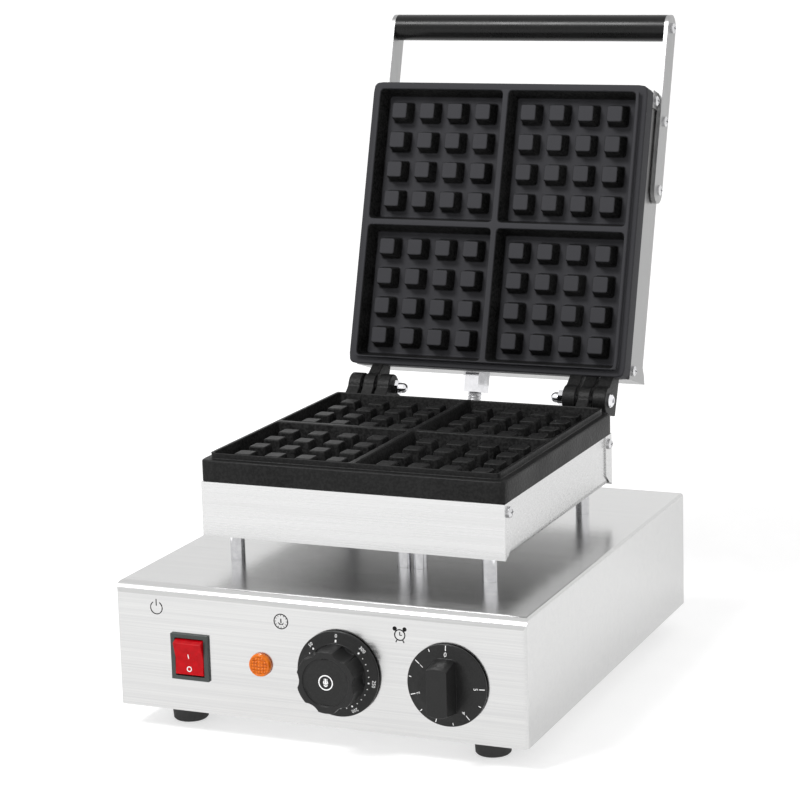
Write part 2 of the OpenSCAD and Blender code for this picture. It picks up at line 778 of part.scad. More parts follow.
// U-shaped tray with lips turned in under the waffle plate
module tray() {
  w = box_w - 2 * (box_t + sheet_play);
  d = box_d - 2 * (box_t + sheet_play);
  h = box_h - sheet_play;
  r = tray_bend_r;
  y = box_front + box_t + sheet_play;
  difference() {
    translate([-w / 2, y, tray_z]) cube([w, d, h]);
    for (m = [0, 1]) mirror([m, 0, 0]) translate([-w / 2, y - 1, tray_z])
      rotate([-90, 0, 0]) mirror([0, 1, 0]) edge_waste(r, d + 2);
    difference() {
      translate([-w / 2 + box_t, y - 1, tray_z + box_t]) cube([w - 2 * box_t, d + 2, h - 2 * box_t]);
      for (m = [0, 1]) mirror([m, 0, 0]) translate([-w / 2 + box_t, y - 2, tray_z + box_t])
        rotate([-90, 0, 0]) mirror([0, 1, 0]) edge_waste(r - box_t, d + 4);
    }
    translate([-w / 2 + box_t + tray_lip_w, y - 1, tray_z + 2 * box_t])
      cube([w - 2 * (box_t + tray_lip_w), d + 2, h]);
    at_panel_screws() cylinder(r = m4_r + thread_play, h = 16, center = true);
    at_plate_screws() cylinder(r = m4_r + hole_play, h = 12, center = true);
  }
}

// End panel at the box's front: a plate with a flange folded back along each side
module end_panel() {
  t = box_t;
  low = 8.5;
  narrow = 7;
  side = [[0, 0], [narrow - 1, 2.5], [end_flange_w, low], [end_flange_w, box_h - sheet_play],
    [0, box_h - sheet_play]];
  difference() {
    union() {
      translate([-box_w / 2, box_front, tray_z]) cube([box_w, t, box_h - sheet_play]);
      for (s = [0, 1]) mirror([s, 0, 0]) translate([-box_w / 2, box_front, tray_z])
        rotate([90, 0, 90]) linear_extrude(t) polygon(side);
    }
    at_panel_screws() cylinder(r = m4_r + hole_play, h = 16, center = true);
  }
}

// The same panel turned round for the hinge side
module rear_end_panel(x) {
  difference() {
    translate([0, 2 * (box_front + box_d / 2), 0]) mirror([0, 1, 0]) end_panel();
    translate([x, box_rear - 5, conduit_z]) rod_y(fitting_thread_r + hole_play, 10);
  }
}

conduit_z = (under_z + tray_z) / 2;

module panel_screws() {
  at_panel_screws() translate([0, 0, sheet_play]) pan_screw(m4_r, 5);
}

// Side view of a hinge ear, with the hinge axis at the origin and the plate in -x
module ear_outline() {
  circle(ear_r);
  polygon([[-hinge_set - 1, under_z + 0.5], [ear_r, under_z + 3], [ear_r, 0], [0, ear_r - 1],
    [-hinge_set - 1, shoulder_z - 0.5]]);
}

// Point of the open stop's outline, from where it stands when the lid is open
function from_open(y, z) = [y * cos(open_angle) - z * sin(open_angle),
  -(y * sin(open_angle) + z * cos(open_angle))];

// Toe of a middle ear, which meets the other plate's rear wall when the lid is open
module stop_toe() {
  wall = -hinge_set + sheet_play;
  polygon([[0, ear_r - 1], from_open(wall, shoulder_z - 0.6), from_open(wall, shoulder_z - 6.6), [ear_r - 1, 0]]);
}

module ear(x, w, toe) {
  translate([x - w / 2, 0, 0]) rotate([90, 0, 90]) linear_extrude(w) {
    ear_outline();
    if (toe) stop_toe();
  }
}

// Waffle plate: block, raised rim, four pockets of sixteen knobs, and hinge ears.
// Two outer ears on the left take the middle ear of the other plate, turned over.
module waffle_plate() {
  rim_w = cast_w - 2 * shoulder_w;
  rim_d = cast_d - 2 * shoulder_w;
  difference() {
    union() {
      translate([-cast_w / 2, cast_rear - cast_d, under_z]) cube([cast_w, cast_d, block_h]);
      translate([-rim_w / 2, cast_mid - rim_d / 2, shoulder_z - eps]) cube([rim_w, rim_d, rim_h + eps]);
      for (s = [-1, 1]) ear(-hinge_x + s * outer_ear_off, outer_ear_w, false);
      ear(hinge_x, middle_ear_w, true);
      at_clamp_screws() translate([0, 0, clamp_t + sheet_play]) cylinder(r = boss_r, h = boss_h + 1);
    }
    translate([0, cast_mid, 0]) four(pocket_off, pocket_off) difference() {
      drafted(pocket_w / 2 - pocket_draft, pocket_w / 2 + pocket_draft / pocket_deep * 2,
        rim_z - pocket_deep, rim_z + 2);
      for (i = [-1.5:1.5], j = [-1.5:1.5]) translate([i * knob_pitch, j * knob_pitch, 0])
        drafted(knob_foot_w / 2, knob_top_w / 2, rim_z - pocket_deep - eps, rim_z - pocket_deep + knob_h);
    }
    rod_x(hinge_bolt_d / 2 + hinge_play, 2 * base_w);
    at_plate_screws() cylinder(r = m4_r + thread_play, h = thread_deep + box_t);
    at_clamp_screws() cylinder(r = m5_r + thread_play, h = clamp_t + boss_h + boss_deep);
  }
}

module plate_screws() {
  at_plate_screws() translate([0, 0, -sheet_play]) rotate([180, 0, 0]) pan_screw(m4_r, thread_deep);
}

// Tubular element in four runs with round bends, lying against the plate's underside
module heating_element() {
  translate([0, cast_mid, under_z - heater_r - heater_gap]) {
    for (i = [-1.5:1.5]) translate([i * 2 * heater_run, -heater_half, 0]) rod_y(heater_r, 2 * heater_half);
    for (i = [-1, 1]) translate([i * 2 * heater_run, -heater_half, 0])
      rotate([0, 0, 180]) rotate_extrude(angle = 180) translate([heater_run, 0]) circle(heater_r);
    translate([0, heater_half, 0])
      rotate_extrude(angle = 180) translate([heater_run, 0]) circle(heater_r);
    for (s = [-1, 1]) translate([s * 3 * heater_run, heater_half - eps, 0]) rod_y(heater_r - 1.5, 18);
  }
}

module heater_clamp() {
  difference() {
    translate([-clamp_w / 2, cast_mid - clamp_w / 2, under_z - 2 * (heater_r + heater_gap) - clamp_t])
      cube([clamp_w, clamp_w, clamp_t]);
    at_clamp_screws() cylinder(r = m5_r + hole_play, h = 12, center = true);
  }
}

module clamp_screws() {
  at_clamp_screws() translate([0, 0, -sheet_play]) rotate([180, 0, 0])
    pan_screw(m5_r, clamp_t + boss_h + boss_deep - 1);
}

// Mineral wool between the heater clamp and the tray, notched for the wire tubes
module insulation() {
  low = tray_z + box_t + hex_head_h + 1;
  high = under_z - boss_h - clamp_t - 2 * bulb_r - insulation_gap;
  notch = 2 * tube_d;
  difference() {
    translate([-box_w / 2 + 6, box_front + 12, low]) cube([box_w - 12, box_d - 24, high - low]);
    translate([tube_x - tube_pitch / 2 - notch / 2, cast_mid - tube_front - notch / 2, low - eps])
      cube([tube_pitch + notch, notch * 1.5, high - low + 2 * eps]);
  }
}

module lower_tray() {
  color("silver") difference() {
    on_base() tray();
    on_top() translate([0, 0, gap_h]) {
      at_posts() cylinder(r = m6_r + hole_play, h = 6 * box_t, center = true);
      at_tubes() cylinder(r = tube_d / 2 + hole_play, h = 6 * box_t, center = true);
    }
  }
}

module lower_front_panel() { color("silver") on_base() end_panel(); }
module lower_rear_panel() { color("silver") on_base() rear_end_panel(conduit_x); }
module lower_panel_screws() { color("gainsboro") on_base() panel_screws(); }
module lower_waffle_plate() { color([0.12, 0.12, 0.13]) on_base() waffle_plate(); }
module lower_plate_screws() { color("gainsboro") on_base() plate_screws(); }
module lower_heating_element() { color("dimgray") on_base() heating_element(); }
module lower_heater_clamp() { color("lightgray") on_base() heater_clamp(); }
module lower_clamp_screws() { color("gainsboro") on_base() clamp_screws(); }
module lower_insulation() { color("khaki") on_base() insulation(); }

// The lid's tray has tapped holes for the handle arms
module upper_tray() {
  color("silver") on_lid() difference() {
    tray();
    at_arm_screws() cylinder(r = m4_r + thread_play, h = 24, center = true);
  }
}

module upper_front_panel() { color("silver") on_lid() end_panel(); }
module upper_rear_panel() { color("silver") on_lid() rear_end_panel(-conduit_x); }
module upper_panel_screws() { color("gainsboro") on_lid() panel_screws(); }
module upper_waffle_plate() { color([0.12, 0.12, 0.13]) on_lid() waffle_plate(); }
module upper_plate_screws() { color("gainsboro") on_lid() plate_screws(); }
module upper_heating_element() { color("dimgray") on_lid() heating_element(); }
module upper_heater_clamp() { color("lightgray") on_lid() heater_clamp(); }
module upper_clamp_screws() { color("gainsboro") on_lid() clamp_screws(); }
module upper_insulation() { color("khaki") on_lid() insulation(); }

// ---------- hinge bolts ----------

// Bolt with its head on the outer side; side is -1 for the left hinge and 1 for the right
module hinge_bolt(side) {
  head_r = 5.2;
  head_t = 2.9;
  outer = hinge_x + hinge_half;
  color("whitesmoke") on_base() {
    translate([side * (hinge_x - 3), 0, 0]) rod_x(hinge_bolt_d / 2, 2 * hinge_half + 8);
    translate([side * (outer + sheet_play), 0, 0]) rotate([0, side * 90, 0]) difference() {
      rotate_extrude() polygon([[0, 0], [head_r, 0], [head_r, 1.1], [head_r - 0.7, 2.1],
        [head_r - 2, head_t], [0, head_t]]);
      translate([0, 0, head_t - 1.5]) hex(3.4, 3);
    }
  }
}

// Domed nut on the inner side of a hinge
module dome_nut(side) {
  af = 10;
  flat_t = 5;
  dome_r = 3.9;
  inner = hinge_x - hinge_half - sheet_play;
  color("whitesmoke") on_base() translate([side * inner, 0, 0]) rotate([0, -side * 90, 0]) difference() {
    union() {
      hex(af, flat_t);
      translate([0, 0, flat_t - eps]) cylinder(r = dome_r, h = 3);
      translate([0, 0, flat_t + 2.6]) sphere(dome_r);
    }
    translate([0, 0, -1]) cylinder(r = hinge_bolt_d / 2 + thread_play, h = 8.5);
  }
}

module left_hinge_bolt() { hinge_bolt(-1); }
module left_dome_nut() { dome_nut(-1); }
module right_hinge_bolt() { hinge_bolt(1); }
module right_dome_nut() { dome_nut(1); }

// ---------- handle ----------

// Flat arm with round ends; side is -1 or 1 in the plate's own frame
module handle_arm(side) {
  low = arm_low_s;
  color("silver") on_lid() difference() {
    translate([side * (box_w / 2 + sheet_play + arm_t / 2), 0, -grip_h]) {
      for (s = [low, grip_s]) translate([0, -s, 0]) rod_x(arm_w / 2, arm_t);
      translate([-arm_t / 2, -grip_s, -arm_w / 2]) cube([arm_t, grip_s - low, arm_w]);
    }
    at_arm_screws() cylinder(r = m4_r + hole_play, h = 20, center = true);
    translate([0, -grip_s, -grip_h]) rod_x(m5_r + hole_play, 2 * base_w);
  }
}

module left_handle_arm() { handle_arm(1); }
module right_handle_arm() { handle_arm(-1); }

module arm_screws() {
  color("gainsboro") on_lid() at_arm_screws() translate([0, 0, sheet_play]) pan_screw(m4_r, arm_t + 5);
}

// Round bar between the arms, with a blind thread in each end
module handle_grip() {
  l = box_w;
  color([0.06, 0.06, 0.06]) on_lid() translate([0, -grip_s, -grip_h]) difference() {
    rod_x(grip_d / 2, l);
    both_sides(l / 2) rod_x(m5_r + thread_play, 36);
  }
}

module grip_screws() {
  color("gainsboro") on_lid() for (s = [-1, 1])
    translate([s * (box_w / 2 + arm_t + 2 * sheet_play), -grip_s, -grip_h])
      rotate([0, s * 90, 0]) pan_screw(m5_r, arm_t + 14);
}

// ---------- wiring conduit ----------

// Fitting on a box's rear panel: hexagon, threaded neck and inner locknut, bored through
module conduit_fitting(x) {
  translate([x, box_rear + sheet_play, conduit_z]) difference() {
    union() {
      rotate([-90, 0, 0]) hex(fitting_af, fitting_l);
      translate([0, -fitting_nut_l - 5, 0]) rod_y(fitting_thread_r, fitting_nut_l + 5 + eps);
      translate([0, -fitting_nut_l - box_t - 2 * sheet_play, 0]) rotate([-90, 0, 0]) hex(fitting_af, fitting_nut_l);
    }
    translate([0, -20, 0]) rod_y(3.6, 60);
  }
}

module lower_conduit_fitting() { color("whitesmoke") on_base() conduit_fitting(conduit_x); }
module upper_conduit_fitting() { color("whitesmoke") on_lid() conduit_fitting(-conduit_x); }

// Flexible conduit: one bend between the two fittings, its ends square to them
module wiring_conduit() {
  color("dimgray") translate([conduit_x, hinge_y, hinge_z]) swept(conduit_path(), conduit_d / 2, 12);
}

// Points of the conduit's axis as [y, z] from the hinge axis
function conduit_path() =
  let (reach = box_rear + fitting_l + 2 * sheet_play)
  let (p0 = [reach, conduit_z])
  let (p1 = [-reach * sin(lid_lean) - conduit_z * cos(lid_lean), -reach * cos(lid_lean) + conduit_z * sin(lid_lean)])
  let (out1 = [-sin(lid_lean), -cos(lid_lean)])
  let (t1 = (p1[1] - conduit_z) / cos(lid_lean))
  let (corner = p1 + t1 * out1)
  let (leg = min(corner[0] - p0[0], t1) - 3)
  let (a = corner - [leg, 0], b = corner - leg * out1)
  concat([p0], [for (i = [0:12]) let (k = i / 12)
    (1 - k) * (1 - k) * a + 2 * k * (1 - k) * corner + k * k * b], [p1]);

base_shell();
back_panel();
back_panel_screws();
bottom_plate();
bottom_plate_screws();
feet();
foot_screws();
support_posts();
base_post_bolts();
box_post_bolts();
wire_tubes();
wire_tube_nuts();
cable_gland();
cable_gland_nut();
terminal_block();
switch_housing();
switch_rocker();
lamp_lens();
lamp_body();
lamp_nut();
thermostat_body();
thermostat_shaft();
thermostat_knob();
thermostat_bulb();
timer_body();
timer_shaft();
timer_knob();
control_screws();
lower_tray();
lower_front_panel();
lower_rear_panel();
lower_panel_screws();
lower_waffle_plate();
lower_plate_screws();
lower_heating_element();
lower_heater_clamp();
lower_clamp_screws();
lower_insulation();
upper_tray();
upper_front_panel();
upper_rear_panel();
upper_panel_screws();
upper_waffle_plate();
upper_plate_screws();
upper_heating_element();
upper_heater_clamp();
upper_clamp_screws();
upper_insulation();
left_hinge_bolt();
left_dome_nut();
right_hinge_bolt();
right_dome_nut();
left_handle_arm();
right_handle_arm();
arm_screws();
handle_grip();
grip_screws();
lower_conduit_fitting();
upper_conduit_fitting();
wiring_conduit();
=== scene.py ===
"""Looks, floor, light and camera of a waffle maker: steel housing on feet, plates in two boxes, bar handle."""

import json
import logging
import math
from dataclasses import dataclass, field
from enum import Enum

import bmesh
import bpy
from mathutils import Matrix, Vector
from mathutils.bvhtree import BVHTree

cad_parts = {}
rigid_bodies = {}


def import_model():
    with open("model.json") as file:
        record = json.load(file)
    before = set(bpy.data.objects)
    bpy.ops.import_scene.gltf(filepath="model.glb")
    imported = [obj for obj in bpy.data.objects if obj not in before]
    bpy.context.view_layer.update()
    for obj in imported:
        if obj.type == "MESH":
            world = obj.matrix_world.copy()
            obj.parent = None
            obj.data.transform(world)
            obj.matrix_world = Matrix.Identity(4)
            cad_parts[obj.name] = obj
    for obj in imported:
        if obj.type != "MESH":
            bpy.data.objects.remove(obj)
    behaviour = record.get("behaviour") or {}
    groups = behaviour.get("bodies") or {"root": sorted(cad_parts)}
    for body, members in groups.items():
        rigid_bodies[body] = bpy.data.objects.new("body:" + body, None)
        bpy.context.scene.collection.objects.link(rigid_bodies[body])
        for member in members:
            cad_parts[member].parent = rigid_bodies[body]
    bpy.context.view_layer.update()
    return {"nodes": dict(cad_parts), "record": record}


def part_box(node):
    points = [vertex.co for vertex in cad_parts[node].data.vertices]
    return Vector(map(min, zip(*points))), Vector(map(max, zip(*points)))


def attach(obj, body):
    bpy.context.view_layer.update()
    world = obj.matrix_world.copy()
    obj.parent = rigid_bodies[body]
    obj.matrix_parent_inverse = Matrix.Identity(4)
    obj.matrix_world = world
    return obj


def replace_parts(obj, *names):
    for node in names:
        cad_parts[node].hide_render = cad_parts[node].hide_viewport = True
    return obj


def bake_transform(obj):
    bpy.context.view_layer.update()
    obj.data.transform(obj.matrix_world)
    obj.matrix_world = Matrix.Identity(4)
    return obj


LOG = logging.getLogger("waffle_maker")
Point = tuple[float, float]
Colour = tuple[float, float, float]
Triple = tuple[float, float, float]

MM = 0.001
ACROSS = Vector((1.0, 0.0, 0.0))
CELL_PLACES = (-1.5, -0.5, 0.5, 1.5)
BUMP_DEPTH = 0.0005
COAT_ROUGHNESS = 0.12
WELD_REACH = 0.002 * MM


class Body(Enum):
    """The moving bodies that a piece can ride on."""

    BASE = "base"
    LID = "lid"
    THERMOSTAT = "thermostat_knob"
    TIMER = "timer_knob"
    ROCKER = "switch_rocker"


class Grain(Enum):
    """How far a brushed grain runs along each axis, as a stretch of the noise per metre."""

    ALONG_X = (3.0, 420.0, 420.0)
    ALONG_Z = (420.0, 420.0, 3.0)
    NONE = (90.0, 90.0, 90.0)


# ---------- shader groups ----------


class Tree:
    """Adds nodes to one node tree and links them."""

    def __init__(self, tree: bpy.types.NodeTree) -> None:
        """Keeps the tree that the nodes go into."""
        self.tree = tree

    def add(self, kind: str, **settings: object) -> bpy.types.Node:
        """Adds a node.

        Args:
            kind: Blender's name of the node type.
            settings: Attributes set on the new node.

        Returns:
            The node.
        """
        node = self.tree.nodes.new(kind)
        for key, value in settings.items():
            setattr(node, key, value)
        return node

    def link(self, out: bpy.types.NodeSocket, into: bpy.types.NodeSocket) -> None:
        """Links one output to one input."""
        self.tree.links.new(out, into)

    def noise(self, vector: bpy.types.NodeSocket, scale: float, detail: float = 3.0) -> bpy.types.NodeSocket:
        """Adds a noise over a vector.

        Args:
            vector: The place that the noise is read at.
            scale: Noise scale.
            detail: Number of finer layers.

        Returns:
            The noise value.
        """
        node = self.add("ShaderNodeTexNoise")
        node.inputs["Scale"].default_value = scale
        node.inputs["Detail"].default_value = detail
        self.link(vector, node.inputs["Vector"])
        return node.outputs["Fac"]

    def spread(self, value: bpy.types.NodeSocket, low: float, high: float,
               from_low: float = 0.3, from_high: float = 0.7) -> bpy.types.NodeSocket:
        """Maps a noise value onto a range.

        Args:
            value: Value to map.
            low: Result at the low end.
            high: Result at the high end.
            from_low: Value that gives the low end.
            from_high: Value that gives the high end.

        Returns:
            The mapped value, held inside the range.
        """
        node = self.add("ShaderNodeMapRange")
        for name, number in (("From Min", from_low), ("From Max", from_high), ("To Min", low), ("To Max", high)):
            node.inputs[name].default_value = number
        self.link(value, node.inputs["Value"])
        return node.outputs["Result"]

    def math(self, operation: str, a: bpy.types.NodeSocket, b: bpy.types.NodeSocket | float) -> bpy.types.NodeSocket:
        """Adds one arithmetic step.

        Args:
            operation: Blender's name of the operation.
            a: First value.
            b: Second value, a socket or a number.

        Returns:
            The result.
        """
        node = self.add("ShaderNodeMath", operation=operation)
        self.link(a, node.inputs[0])
        if isinstance(b, (int, float)):
            node.inputs[1].default_value = b
        else:
            self.link(b, node.inputs[1])
        return node.outputs[0]


class Group:
    """Base of a finish's shader group, built once and placed in many materials."""

    name: str = "group"
    inputs: tuple[tuple[str, str, object], ...] = ()
    outputs = (("Color", "NodeSocketColor"), ("Roughness", "NodeSocketFloat"), ("Height", "NodeSocketFloat"))

    @classmethod
    def tree(cls) -> bpy.types.NodeTree:
        """Returns the group's tree, built at its first use."""
        found = bpy.data.node_groups.get(cls.name)
        if found is not None:
            return found
        tree = bpy.data.node_groups.new(cls.name, "ShaderNodeTree")
        for label, kind, value in cls.inputs:
            socket = tree.interface.new_socket(label, in_out="INPUT", socket_type=kind)
            if value is not None:
                socket.default_value = value
        for label, kind in cls.outputs:
            tree.interface.new_socket(label, in_out="OUTPUT", socket_type=kind)
        kit = Tree(tree)
        cls.fill(kit, kit.add("NodeGroupInput"), kit.add("NodeGroupOutput"))
        return tree

    @classmethod
    def fill(cls, kit: Tree, source: bpy.types.Node, sink: bpy.types.Node) -> None:
        """Adds the group's nodes between its inputs and outputs."""
        raise NotImplementedError

    @staticmethod
    def feed(kit: Tree, source: bpy.types.Node, sink: bpy.types.Node, mix: bpy.types.NodeSocket,
             wear: bpy.types.NodeSocket, span: Point, height: bpy.types.NodeSocket) -> None:
        """Feeds the colour, roughness and height that every finish group puts out.

        Args:
            kit: The group's tree.
            source: The group's input node.
            sink: The group's output node.
            mix: Share of the light colour.
            wear: Value that the roughness follows.
            span: Values of wear that give the low and the high roughness.
            height: Value of the relief.
        """
        tone = kit.add("ShaderNodeMix", data_type="RGBA")
        kit.link(mix, tone.inputs["Factor"])
        kit.link(source.outputs["Dark"], tone.inputs["A"])
        kit.link(source.outputs["Light"], tone.inputs["B"])
        rough = kit.add("ShaderNodeMapRange")
        rough.inputs["From Min"].default_value = span[0]
        rough.inputs["From Max"].default_value = span[1]
        kit.link(wear, rough.inputs["Value"])
        kit.link(source.outputs["Rough Low"], rough.inputs["To Min"])
        kit.link(source.outputs["Rough High"], rough.inputs["To Max"])
        kit.link(tone.outputs["Result"], sink.inputs["Color"])
        kit.link(rough.outputs["Result"], sink.inputs["Roughness"])
        kit.link(height, sink.inputs["Height"])

    @classmethod
    def place(cls, kit: Tree, **values: object) -> bpy.types.Node:
        """Places the group in a material.

        Args:
            kit: The material's tree.
            values: Values of the group's inputs, with _ for a space.

        Returns:
            The group node.
        """
        node = kit.add("ShaderNodeGroup", node_tree=cls.tree())
        for key, value in values.items():
            node.inputs[key.replace("_", " ")].default_value = value
        return node


class BrushedGrain(Group):
    """Long fine scratches of a brushed or rolled sheet, with a slow change of tone."""

    name = "BrushedGrain"
    inputs = (("Position", "NodeSocketVector", None), ("Stretch", "NodeSocketVector", (3.0, 420.0, 420.0)),
              ("Rough Low", "NodeSocketFloat", 0.2), ("Rough High", "NodeSocketFloat", 0.35),
              ("Dark", "NodeSocketColor", (0.5, 0.5, 0.5, 1.0)), ("Light", "NodeSocketColor", (0.7, 0.7, 0.7, 1.0)))

    @classmethod
    def fill(cls, kit: Tree, source: bpy.types.Node, sink: bpy.types.Node) -> None:
        """Adds stretched noise for the scratches and plain noise for the slow change.

        Args:
            kit: The group's tree.
            source: The group's input node.
            sink: The group's output node.
        """
        stretched = kit.add("ShaderNodeVectorMath", operation="MULTIPLY")
        kit.link(source.outputs["Position"], stretched.inputs[0])
        kit.link(source.outputs["Stretch"], stretched.inputs[1])
        fine = kit.noise(stretched.outputs[0], 2.4, 4.0)
        coarse = kit.noise(stretched.outputs[0], 0.7, 2.0)
        slow = kit.noise(source.outputs["Position"], 9.0, 3.0)
        both = kit.math("MULTIPLY_ADD", coarse, 0.3)
        kit.link(kit.math("MULTIPLY", fine, 0.7), both.node.inputs[2])
        wear = kit.math("ADD", kit.math("MULTIPLY", both, 0.75), kit.math("MULTIPLY", slow, 0.25))
        cls.feed(kit, source, sink, kit.spread(both, 0.0, 1.0, 0.38, 0.62), wear, (0.36, 0.64), fine)


class CastTexture(Group):
    """Fine pimples of a coated casting, with slightly worn lighter patches."""

    name = "CastTexture"
    inputs = (("Position", "NodeSocketVector", None), ("Pimple Scale", "NodeSocketFloat", 1400.0),
              ("Rough Low", "NodeSocketFloat", 0.4), ("Rough High", "NodeSocketFloat", 0.6),
              ("Dark", "NodeSocketColor", (0.01, 0.01, 0.01, 1.0)),
              ("Light", "NodeSocketColor", (0.03, 0.03, 0.03, 1.0)))

    @classmethod
    def fill(cls, kit: Tree, source: bpy.types.Node, sink: bpy.types.Node) -> None:
        """Adds pimples from fine noise and patches from slow noise.

        Args:
            kit: The group's tree.
            source: The group's input node.
            sink: The group's output node.
        """
        pimples = kit.add("ShaderNodeTexNoise")
        pimples.inputs["Detail"].default_value = 2.0
        kit.link(source.outputs["Position"], pimples.inputs["Vector"])
        kit.link(source.outputs["Pimple Scale"], pimples.inputs["Scale"])
        patches = kit.noise(source.outputs["Position"], 34.0, 4.0)
        height = pimples.outputs["Fac"]
        mix = kit.math("ADD", kit.spread(height, 0.0, 0.6, 0.4, 0.6), kit.spread(patches, 0.0, 0.4))
        cls.feed(kit, source, sink, mix, patches, (0.3, 0.7), height)


# ---------- finishes ----------


def grey(level: float) -> Colour:
    """Returns a neutral colour."""
    return (level, level, level)


@dataclass(frozen=True)
class Finish:
    """A finish whose colour, roughness and relief come from one group."""

    name: str
    dark: Colour
    light: Colour
    rough: Point
    relief: float = 0.02
    metallic: float = 0.0
    grain: Grain = Grain.NONE
    pimples: float = 0.0
    specular: float = 0.5
    coat: float = 0.0
    glow: Colour | None = None
    glow_strength: float = 0.0

    def material(self) -> bpy.types.Material:
        """Returns the finish as a material, made at its first use."""
        found = bpy.data.materials.get(self.name)
        if found is not None:
            return found
        made = bpy.data.materials.new(self.name)
        made.use_nodes = True
        kit = Tree(made.node_tree)
        shader = made.node_tree.nodes["Principled BSDF"]
        place = kit.add("ShaderNodeTexCoord").outputs["Object"]
        values = {"Rough_Low": self.rough[0], "Rough_High": self.rough[1],
                  "Dark": (*self.dark, 1.0), "Light": (*self.light, 1.0)}
        if self.pimples:
            group = CastTexture.place(kit, Pimple_Scale=self.pimples, **values)
        else:
            group = BrushedGrain.place(kit, Stretch=self.grain.value, **values)
        kit.link(place, group.inputs["Position"])
        kit.link(group.outputs["Color"], shader.inputs["Base Color"])
        kit.link(group.outputs["Roughness"], shader.inputs["Roughness"])
        bump = kit.add("ShaderNodeBump")
        bump.inputs["Strength"].default_value = self.relief
        bump.inputs["Distance"].default_value = BUMP_DEPTH
        kit.link(group.outputs["Height"], bump.inputs["Height"])
        kit.link(bump.outputs["Normal"], shader.inputs["Normal"])
        shader.inputs["Metallic"].default_value = self.metallic
        shader.inputs["Specular IOR Level"].default_value = self.specular
        shader.inputs["Coat Weight"].default_value = self.coat
        shader.inputs["Coat Roughness"].default_value = COAT_ROUGHNESS
        if self.glow is not None:
            shader.inputs["Emission Color"].default_value = (*self.glow, 1.0)
            shader.inputs["Emission Strength"].default_value = self.glow_strength
        return made


HOUSING = Finish("housing_brushed_steel", grey(0.54), (0.6, 0.6, 0.595), (0.15, 0.24), 0.04, 1.0, Grain.ALONG_X)
BACK = Finish("back_panel_steel", (0.58, 0.58, 0.59), grey(0.70), (0.28, 0.38), 0.05, 1.0, Grain.ALONG_Z)
BOX = Finish("box_satin_steel", grey(0.57), grey(0.63), (0.22, 0.32), 0.04, 1.0, Grain.ALONG_X)
# painted shade: a copy of the box steel at about half its brightness, for the lid's tray and panels
LID_BOX = Finish("lid_box_steel_painted_shade", grey(0.3), grey(0.335), (0.26, 0.38), 0.04, 1.0, Grain.ALONG_Z)
ARM = Finish("arm_satin_steel", grey(0.31), grey(0.37), (0.28, 0.4), 0.04, 1.0, Grain.ALONG_Z)
CHROME = Finish("bright_plating", (0.74, 0.74, 0.76), (0.84, 0.84, 0.86), (0.06, 0.14), 0.01, 1.0)
SCREW = Finish("zinc_plated_screws", (0.56, 0.56, 0.57), (0.72, 0.72, 0.73), (0.2, 0.34), 0.04, 1.0)
CASTING = Finish("nonstick_casting", grey(0.016), grey(0.078), (0.55, 0.66), 0.6, pimples=560.0, specular=0.06)
# painted shade: a darker copy of the casting finish for the lower plate and every hinge ear
CASTING_SHADED = Finish("nonstick_casting_painted_shade", grey(0.002), grey(0.012), (0.4, 0.52), 0.6,
                     pimples=560.0, specular=0.16)
# painted shade: a darker copy of the casting finish for the sideways walls of the pockets and knobs
CASTING_WALL_SHADE = Finish("nonstick_casting_wall_painted_shade", grey(0.002), grey(0.022), (0.45, 0.6), 0.5,
                      pimples=560.0, specular=0.08)
RUBBER = Finish("foot_rubber", grey(0.002), grey(0.005), (0.7, 0.85), 0.1, pimples=700.0, specular=0.02)
KNOB = Finish("knob_satin_plastic", grey(0.009), grey(0.018), (0.28, 0.4), 0.08, pimples=1500.0, specular=0.22)
HANDLE = Finish("handle_black_plastic", grey(0.004), grey(0.008), (0.22, 0.32), 0.03, pimples=600.0, specular=0.2)
BEZEL = Finish("switch_dark_plastic", (0.018, 0.024, 0.022), (0.034, 0.042, 0.039), (0.36, 0.5), 0.05,
               pimples=1300.0)
# painted glow: the rocker is no lamp, yet a faint red emission brightens it
ROCKER = Finish("rocker_red_plastic", (0.34, 0.001, 0.004), (0.44, 0.002, 0.006), (0.2, 0.3), 0.02, pimples=300.0,
                specular=0.1, coat=0.02, glow=(0.5, 0.0, 0.005), glow_strength=0.05)
LENS = Finish("lamp_orange_plastic", (0.5, 0.1, 0.002), (0.68, 0.16, 0.004), (0.14, 0.22), 0.02, pimples=260.0,
              specular=0.25, coat=0.05, glow=(1.0, 0.22, 0.01), glow_strength=0.06)
CONTROL = Finish("control_zinc_plate", grey(0.5), (0.66, 0.66, 0.64), (0.3, 0.45), 0.04, 1.0)
COPPER = Finish("drawn_copper", (0.6, 0.27, 0.15), (0.78, 0.4, 0.26), (0.24, 0.36), 0.03, 1.0)
TERMINAL = Finish("terminal_ivory_plastic", (0.66, 0.62, 0.5), (0.78, 0.75, 0.64), (0.4, 0.5), 0.04, pimples=500.0)
SHEATH = Finish("element_dark_sheath", (0.08, 0.075, 0.07), (0.16, 0.15, 0.145), (0.45, 0.6), 0.08, 0.8)
WOOL = Finish("mineral_wool", (0.42, 0.36, 0.2), (0.66, 0.6, 0.4), (0.85, 0.95), 0.8, pimples=420.0, specular=0.1)
HOSE = Finish("hose_steel", (0.5, 0.5, 0.51), (0.66, 0.66, 0.67), (0.26, 0.4), 0.04, 1.0)
INK = Finish("dial_white_ink", grey(0.8), grey(0.9), (0.5, 0.6), 0.02, pimples=900.0)
PRINT = Finish("panel_black_print", grey(0.006), grey(0.012), (0.6, 0.7), 0.02, pimples=900.0, specular=0.1)
FLOOR = Finish("pale_floor", grey(0.58), grey(0.61), (0.6, 0.7), 0.02, pimples=40.0, specular=0.2,
               glow=grey(1.0), glow_strength=0.56)

